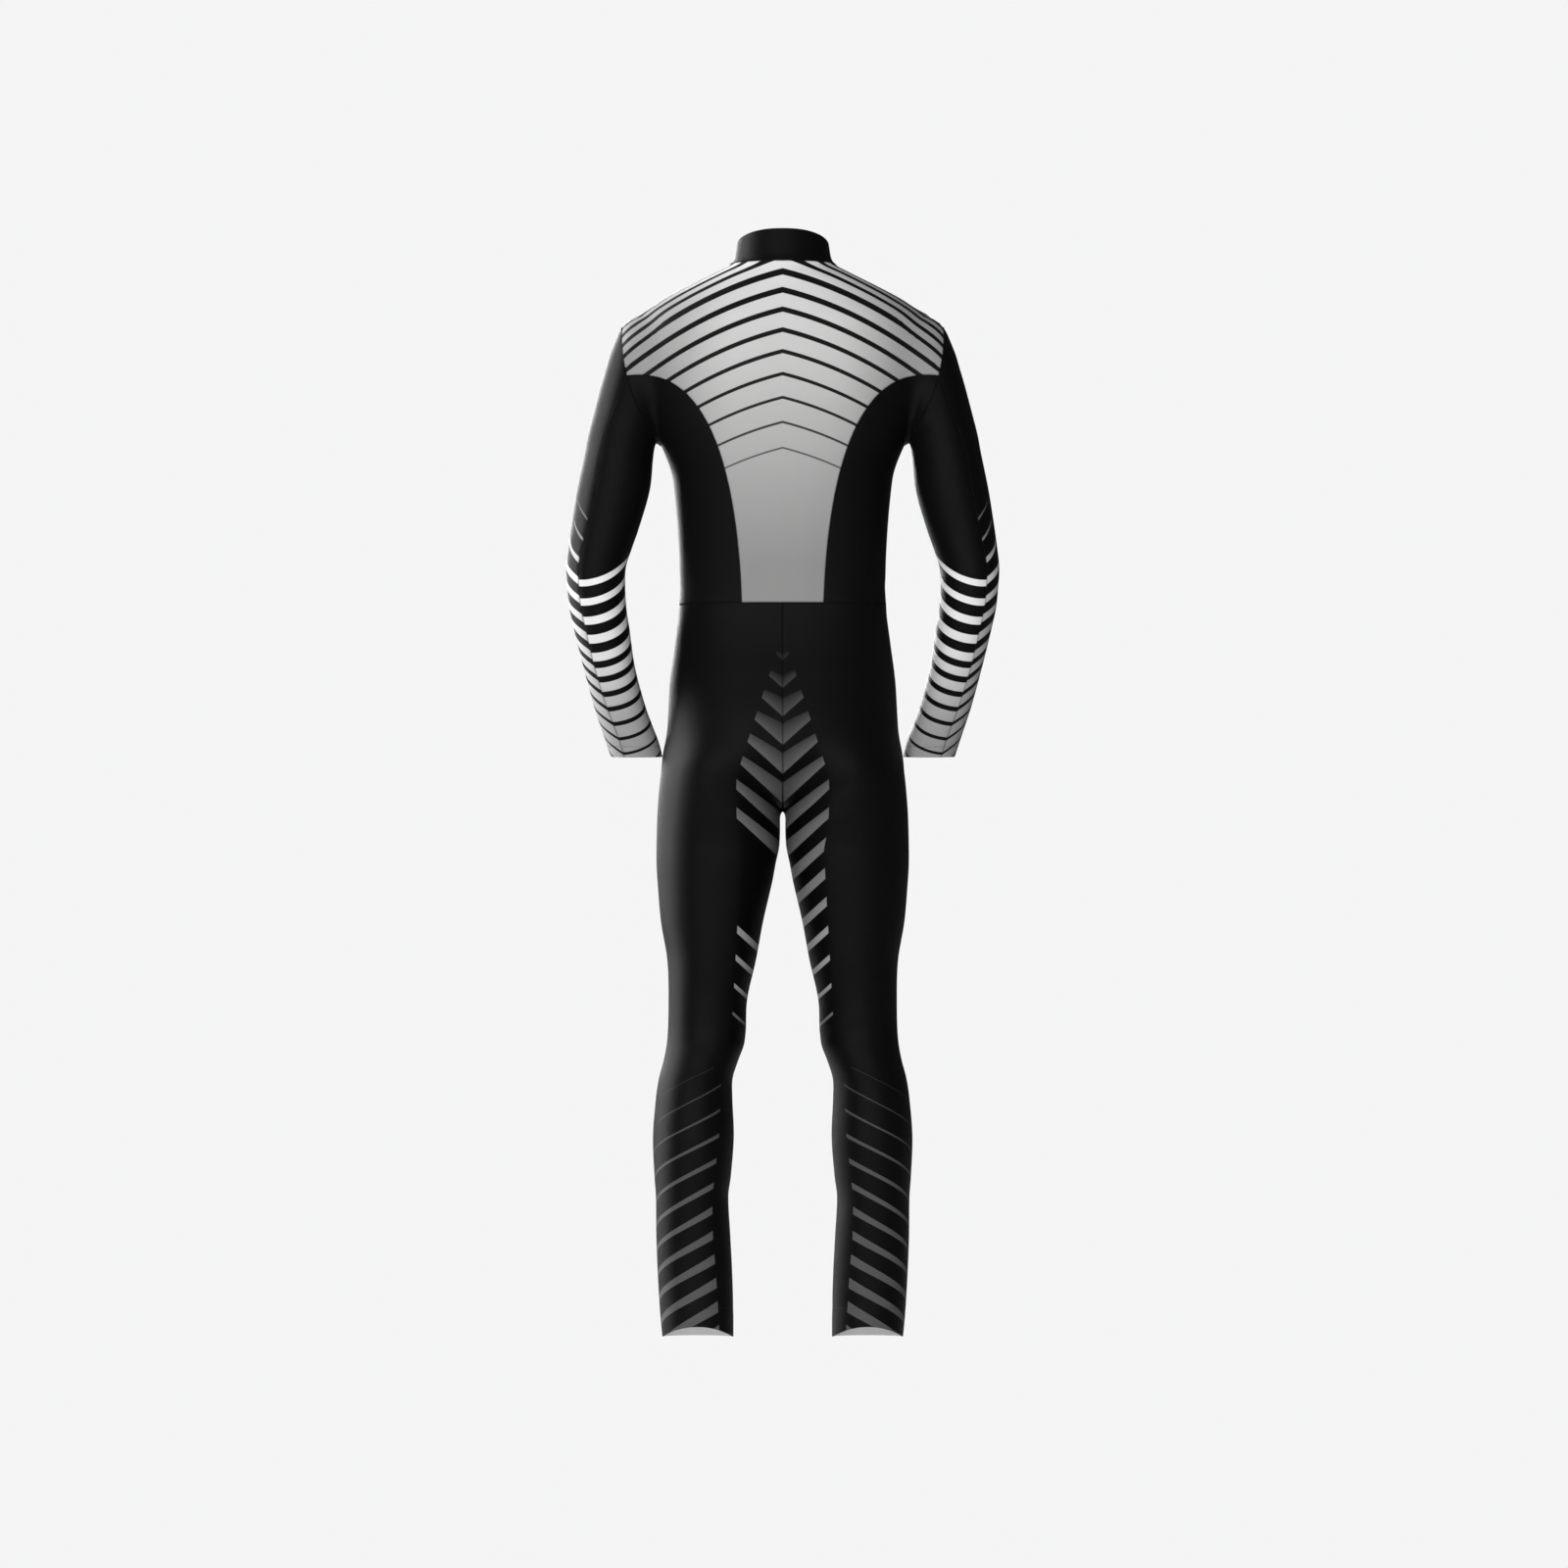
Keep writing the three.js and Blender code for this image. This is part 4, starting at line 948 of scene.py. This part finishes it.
def add_knit(tree, shader, strength):
    knit = use_group(tree, KNIT)
    bump = node(tree, "ShaderNodeBump")
    bump.inputs["Strength"].default_value = strength
    bump.inputs["Distance"].default_value = LOOP_DEPTH
    tree.links.new(knit.outputs["Height"], bump.inputs["Height"])
    tree.links.new(bump.outputs["Normal"], shader.inputs["Normal"])


def printed_knit(name, roughness, specular):
    material, tree, shader = new_material(name, roughness, specular)
    tree.links.new(use_group(tree, STRIPES).outputs["Color"], shader.inputs["Base Color"])
    add_knit(tree, shader, 0.5)
    return material


black_knit = printed_knit("black knit", 0.46, 0.045)
light_knit = printed_knit("light knit", 0.55, 0.12)
reverse, reverse_tree, reverse_shader = new_material("white reverse", 0.8, 0.2, (0.84, 0.84, 0.84))
add_knit(reverse_tree, reverse_shader, 0.6)
thread = new_material("black thread", 0.6, 0.2, (0.006, 0.006, 0.0065))[0]
tape = new_material("zip tape", 0.8, 0.2, (0.012, 0.012, 0.013))[0]
coil = new_material("zip coil", 0.35, 0.5, (0.02, 0.02, 0.021))[0]
metal = new_material("black metal", 0.38, 0.5, (0.07, 0.072, 0.076), 1.0)[0]


# The cloth pieces.


def set_up(obj, slot, *nodes):
    """Ties an object to the suit and hides the CAD parts that it replaces."""
    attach(obj, "suit")
    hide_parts(*nodes)
    return obj


def outward(grid, flat_first=0):
    """Outward directions; the first points of the first rows lie on the middle line."""
    n = slope_of_form(grid)
    if flat_first:
        n[:flat_first, 0, 0] = 0
    return unit(n)


seams = []


def keep_seam(line, normals, sides=(1, -1)):
    """Notes a seam for the stitching, on one side of the body or both."""
    for side in sides:
        turn = np.array([side, 1, 1])
        seams.append((line * turn, normals * turn))


def cloth(
    name, grid, normals, paint, sink, slot="black_knit", material=None, mirror=False, thick=CLOTH, faced=0
):
    pair = ((1, "_r"), (-1, "_l")) if mirror else ((1, ""),)
    for side, ending in pair:
        turn = np.array([side, 1, 1])
        points, directions = grid * turn, normals * turn
        both = (material or black_knit, reverse)
        obj = shell("cloth_" + name + ending, points, directions, thick, both, sink, paint(points), faced)
        set_up(obj, slot, name + ending)


GROOVE = 0.3  # how far the cloth dips at a seam
COLLAR_CLOTH = 2.0

collar = collar_grid()
collar_n = outward(collar)
cloth("collar", collar, collar_n, plain, (0, 0, GROOVE, 0), thick=COLLAR_CLOTH)
keep_seam(collar[-1], collar_n[-1], (1,))

panel = back_panel_grid()
panel_n = outward(panel)
cloth("back_panel", panel, panel_n, back_print, (GROOVE,) * 4, "light_knit", light_knit)
keep_seam(panel[:, -1], panel_n[:, -1])

side_back = side_back_grid()
side_back_n = outward(side_back)
cloth("side_back", side_back, side_back_n, plain, (GROOVE,) * 4, mirror=True)
keep_seam(side_back[0], side_back_n[0])
keep_seam(side_back[:, -1], side_back_n[:, -1])

front = front_grid()
front_n = outward(front)
cloth("front", front, front_n, plain, (GROOVE, GROOVE, GROOVE, 0), mirror=True, faced=FINE)
hole_rows = slice(SHOULDER_CELLS * FINE, (SHOULDER_CELLS + HOLE_FRONT) * FINE + 1)
keep_seam(front[hole_rows, -1], front_n[hole_rows, -1])

sleeve = sleeve_grid()
sleeve_n = outward(sleeve)
cut = (HOLE_BACK + HOLE_FRONT - 3) * FINE
sleeve_sink = (GROOVE, GROOVE, 0, GROOVE)
cloth("sleeve_top", sleeve[:, : cut + 1], sleeve_n[:, : cut + 1], top_sleeve_print, sleeve_sink, mirror=True)
cloth("sleeve_under", sleeve[:, cut:], sleeve_n[:, cut:], under_sleeve_print, sleeve_sink, mirror=True)
keep_seam(sleeve[:, 0], sleeve_n[:, 0])
keep_seam(sleeve[:, cut], sleeve_n[:, cut])

ABOVE = (LEG_SEAT + LEG_CURVE) * FINE
legs = {}
for side, name in ((-1, "leg_back"), (1, "leg_front")):
    grid = leg_grid(side)
    normals = outward(grid, ABOVE + 1)
    legs[name] = (grid, normals)
    cloth(name, grid, normals, leg_print, (GROOVE, GROOVE, 0, GROOVE), mirror=True)
    keep_seam(grid[0], normals[0])
leg_back, leg_back_n = legs["leg_back"]
leg_front, leg_front_n = legs["leg_front"]
keep_seam(leg_back[:, -1], leg_back_n[:, -1])
keep_seam(leg_back[ABOVE:, 0], leg_back_n[ABOVE:, 0])
keep_seam(leg_back[: ABOVE + 1, 0] * (0, 1, 1), leg_back_n[: ABOVE + 1, 0], (1,))
zip_foot = LEG_SEAT * FINE
keep_seam(leg_front[zip_foot : ABOVE + 1, 0] * (0, 1, 1), leg_front_n[zip_foot : ABOVE + 1, 0], (1,))

# Stitching.


def resample(line, normals, step):
    """Points at even steps along a line, with their outward directions and directions along it."""
    run = np.append(0, np.cumsum(np.linalg.norm(np.diff(line, axis=0), axis=1)))
    at = np.linspace(0, run[-1], max(int(run[-1] / step), 2) + 1)
    place = np.stack([np.interp(at, run, line[:, i]) for i in range(3)], -1)
    n = unit(np.stack([np.interp(at, run, normals[:, i]) for i in range(3)], -1))
    return place, n, unit(np.gradient(place, axis=0))


def section(across, up, sides):
    """The points of a ring round each centre, in the plane of two directions."""
    angle = np.arange(sides) * math.tau / sides
    return across[:, None] * np.cos(angle)[:, None] + up[:, None] * np.sin(angle)[:, None]


def rod_quads(count, rings, sides):
    """Faces of closed rods whose points are listed rod by rod and ring by ring; fans close their ends."""
    start = np.arange(rings - 1)[:, None] * sides
    here, nxt = start + np.arange(sides), start + (np.arange(sides) + 1) % sides
    around = np.stack([here, nxt, nxt + sides, here + sides], -1).reshape(-1, 4)
    last = (rings - 1) * sides
    fans = range(0, sides - 2, 2)
    near = [[j + 3, j + 2, j + 1, 0] for j in fans]
    far = [[last, last + j + 1, last + j + 2, last + j + 3] for j in fans]
    rod = np.concatenate([around, near, far])
    return (rod + np.arange(count)[:, None, None] * rings * sides).reshape(-1, 4)


def joined(name, parts, material):
    """One object from several lists of points and quads."""
    starts = np.cumsum([0] + [len(p) for p, _ in parts[:-1]])
    points = np.concatenate([p for p, _ in parts])
    faces = np.concatenate([f + s for (_, f), s in zip(parts, starts)])
    return mesh_object(name, points, faces, [material])


THREAD_SIDES = 4
ZIGZAG = {"step": 1.2, "swing": 1.3, "lift": 0.06, "radius": 0.2}


def zigzag(line, normals):
    """Flat-seam stitching: a thread from side to side across the seam, a little over the cloth."""
    place, n, along = resample(line, normals, ZIGZAG["step"])
    side = unit(np.cross(n, along))
    swing = np.where(np.arange(len(place)) % 2 == 0, 1, -1)[:, None] * ZIGZAG["swing"]
    on_form = onto(place + side * swing, 3)
    lifted = on_form + n * (creases(on_form)[:, None] + ZIGZAG["lift"])
    ring = section(n, along, THREAD_SIDES)
    points = (lifted[:, None] + ring * ZIGZAG["radius"]).reshape(-1, 3)
    return points, rod_quads(1, len(lifted), THREAD_SIDES)


stitches = joined("seam_stitches", [zigzag(line, n) for line, n in seams], thread)
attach(stitches, "suit")


def hem_row(grid, normals, up):
    """A line round a tube's end, a given distance from it, from rows of the grid."""
    run = np.cumsum(np.linalg.norm(np.diff(grid[::-1], axis=0), axis=-1), axis=0)
    row = len(grid) - 2 - np.argmax(run.mean(1) > up)
    return grid[row], normals[row]


# Hem stitches: a row of places along a thread, with its radius at each.
HEM_STEP, HEM_LIFT = 1.5, 0.1
DASH = ((-1.2, 0.12), (-0.7, 0.22), (0.7, 0.22), (1.2, 0.12))
HEM_UP, CUFF_UP = 30, 12


def dashes(line, normals):
    """Straight stitches: short threads 2.4 mm long, at every second step."""
    place, n, along = resample(line, normals, HEM_STEP)
    count = (len(place) - 1) // 2
    start, n, along = (v[: 2 * count : 2] for v in (place, n, along))
    start = start + n * (creases(start)[:, None] + HEM_LIFT)
    ring = section(np.cross(n, along), n, THREAD_SIDES)
    rings = [(start + along * shift)[:, None] + ring * radius for shift, radius in DASH]
    points = np.concatenate(rings, axis=1).reshape(-1, 3)
    return points, rod_quads(count, len(DASH), THREAD_SIDES)


hem_lines = [
    hem_row(leg_back, leg_back_n, HEM_UP),
    hem_row(leg_front, leg_front_n, HEM_UP),
    hem_row(sleeve, sleeve_n, CUFF_UP),
]
hems = joined(
    "hem_stitches",
    [dashes(line * (s, 1, 1), n * (s, 1, 1)) for line, n in hem_lines for s in (1, -1)],
    thread,
)
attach(hems, "suit")

# Zip: woven tape inside the fronts, coil teeth, slider and tab.
TAPE = {"top": 1, "foot": -638, "step": 4, "depth": 2.0, "thick": 0.8}
TAPE_COLUMNS = np.array([-12, -8, -5, -2.5, 0, 2.5, 5, 8, 12.0])
COIL = {"top": 0, "foot": -604, "pitch": 0.64, "depth": 0.35, "high": 0.9, "deep": 1.3, "sides": 6}
# A tooth's rings: place across the zip, and size.
TOOTH = ((-0.9, 0.3), (-0.5, 0.46), (2.4, 0.46), (3.0, 0.3))
RIGHT = np.array([1.0, 0, 0])


def zip_line(top, low, step):
    """The middle line of the zip: points, outward directions, directions downwards."""
    z = np.linspace(top, low, max(int((top - low) / step), 2))
    edge = level_ray(FRONT_EDGE, 0, z, 180)
    n = unit(slope_of_form(edge) * (0, 1, 1))
    return resample(edge * (0, 1, 1), n, step)


def woven_tape():
    """A strip below the fronts, level across the open middle and following the form beyond it."""
    place, n, _ = zip_line(TAPE["top"], TAPE["foot"], TAPE["step"])
    reach = np.broadcast_to(np.maximum(np.abs(TAPE_COLUMNS), FRONT_EDGE), (len(place), len(TAPE_COLUMNS)))
    on_form = level_ray(reach, 0, place[:, 2:3], 180) * (0, 1, 1)
    points = on_form + TAPE_COLUMNS[:, None] * RIGHT
    normals = np.broadcast_to(n[:, None], points.shape)
    return shell("zip_tape_woven", points - normals * TAPE["depth"], normals, TAPE["thick"], (tape, tape))


def coil_teeth():
    """Teeth that reach over the middle from either side in turn."""
    place, n, down = zip_line(COIL["top"], COIL["foot"], COIL["pitch"])
    swing = np.where(np.arange(len(place)) % 2 == 0, 1.0, -1.0)[:, None]
    ring = section(down * COIL["high"], n * COIL["deep"], COIL["sides"])
    rings = []
    for across, size in TOOTH:
        centre = place + RIGHT * swing * across - n * COIL["depth"]
        rings.append(centre[:, None] + ring * size)
    points = np.concatenate(rings, axis=1).reshape(-1, 3)
    faces = rod_quads(len(place), len(TOOTH), COIL["sides"])
    return mesh_object("zip_coil_teeth", points, faces, [coil])


tape_obj = woven_tape()
set_up(tape_obj, "zip_tape", "zip_tape")
teeth = coil_teeth()
set_up(teeth, "zip_coil", "zip_chain")

for name in ("zip_slider", "zip_pull"):
    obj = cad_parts[name]
    obj.data.materials.clear()
    obj.data.materials.append(metal)

# Room and lamps: a pale bowl all round, so that every side is seen against it, and soft light mostly from
# the left.


def pale_room():
    """Seen straight on the walls glow evenly; for everything else they are dull and pale grey."""
    material, tree, shader = new_material("pale room", 0.9, 0.1, (0.45, 0.45, 0.45))
    glow = node(tree, "ShaderNodeEmission")
    glow.inputs["Color"].default_value = (0.91, 0.91, 0.915, 1)
    path = node(tree, "ShaderNodeLightPath")
    mix = node(tree, "ShaderNodeMixShader")
    tree.links.new(path.outputs["Is Camera Ray"], mix.inputs[0])
    tree.links.new(shader.outputs[0], mix.inputs[1])
    tree.links.new(glow.outputs[0], mix.inputs[2])
    tree.links.new(mix.outputs[0], tree.nodes["Material Output"].inputs["Surface"])
    return material


def room(floor_z=-1480, floor_reach=10000, bend=7000, top=12000, turns=72):
    """A round floor whose rim bends up into a wall: the profile turned about the Z axis."""
    angle = np.linspace(0, math.pi / 2, 13)
    reach = np.concatenate([[0], floor_reach + bend * np.sin(angle), [floor_reach + bend]])
    height = np.concatenate([[floor_z], floor_z + bend * (1 - np.cos(angle)), [top]])
    turn = np.arange(turns + 1) * math.tau / turns
    grid = np.stack(
        [reach[:, None] * np.cos(turn), reach[:, None] * np.sin(turn), height[:, None] + 0 * turn], -1
    )
    return mesh_object("studio", grid.reshape(-1, 3), grid_quads(len(reach), turns + 1), [pale_room()])


studio = room()


def area_light(name, place, target, size, power):
    """A rectangular lamp that looks at a target, hidden from the camera."""
    data = bpy.data.lights.new(name, "AREA")
    data.shape = "RECTANGLE"
    data.size, data.size_y = size
    data.energy = power
    obj = bpy.data.objects.new(name, data)
    bpy.context.collection.objects.link(obj)
    obj.visible_camera = False
    obj.location = place
    towards = np.array(target) - np.array(place)
    level = math.hypot(towards[0], towards[1])
    obj.rotation_euler = (math.atan2(level, -towards[2]), 0, math.atan2(-towards[0], towards[1]))


# Name, place, target, width and height, watts.
LAMPS = [
    ("left", (-3.2, 1.6, 0.2), (0, 0, -0.4), (1.0, 4.2), 330),
    ("behind", (-0.9, -4.4, 0.3), (0, 0, -0.5), (1.6, 1.6), 166),
    ("front", (-1.6, 5.0, 1.0), (0, 0, -0.6), (2.6, 2.6), 280),
    ("low", (0, -2.6, -1.45), (0, 0, -1.39), (1.2, 0.05), 10),
]
for lamp in LAMPS:
    area_light(*lamp)

world = bpy.data.worlds.new("world")
world.use_nodes = True
world.node_tree.nodes["Background"].inputs["Color"].default_value = (0.9, 0.92, 0.94, 1)
world.node_tree.nodes["Background"].inputs["Strength"].default_value = 0.2
bpy.context.scene.world = world
bpy.context.scene.view_settings.view_transform = "Standard"
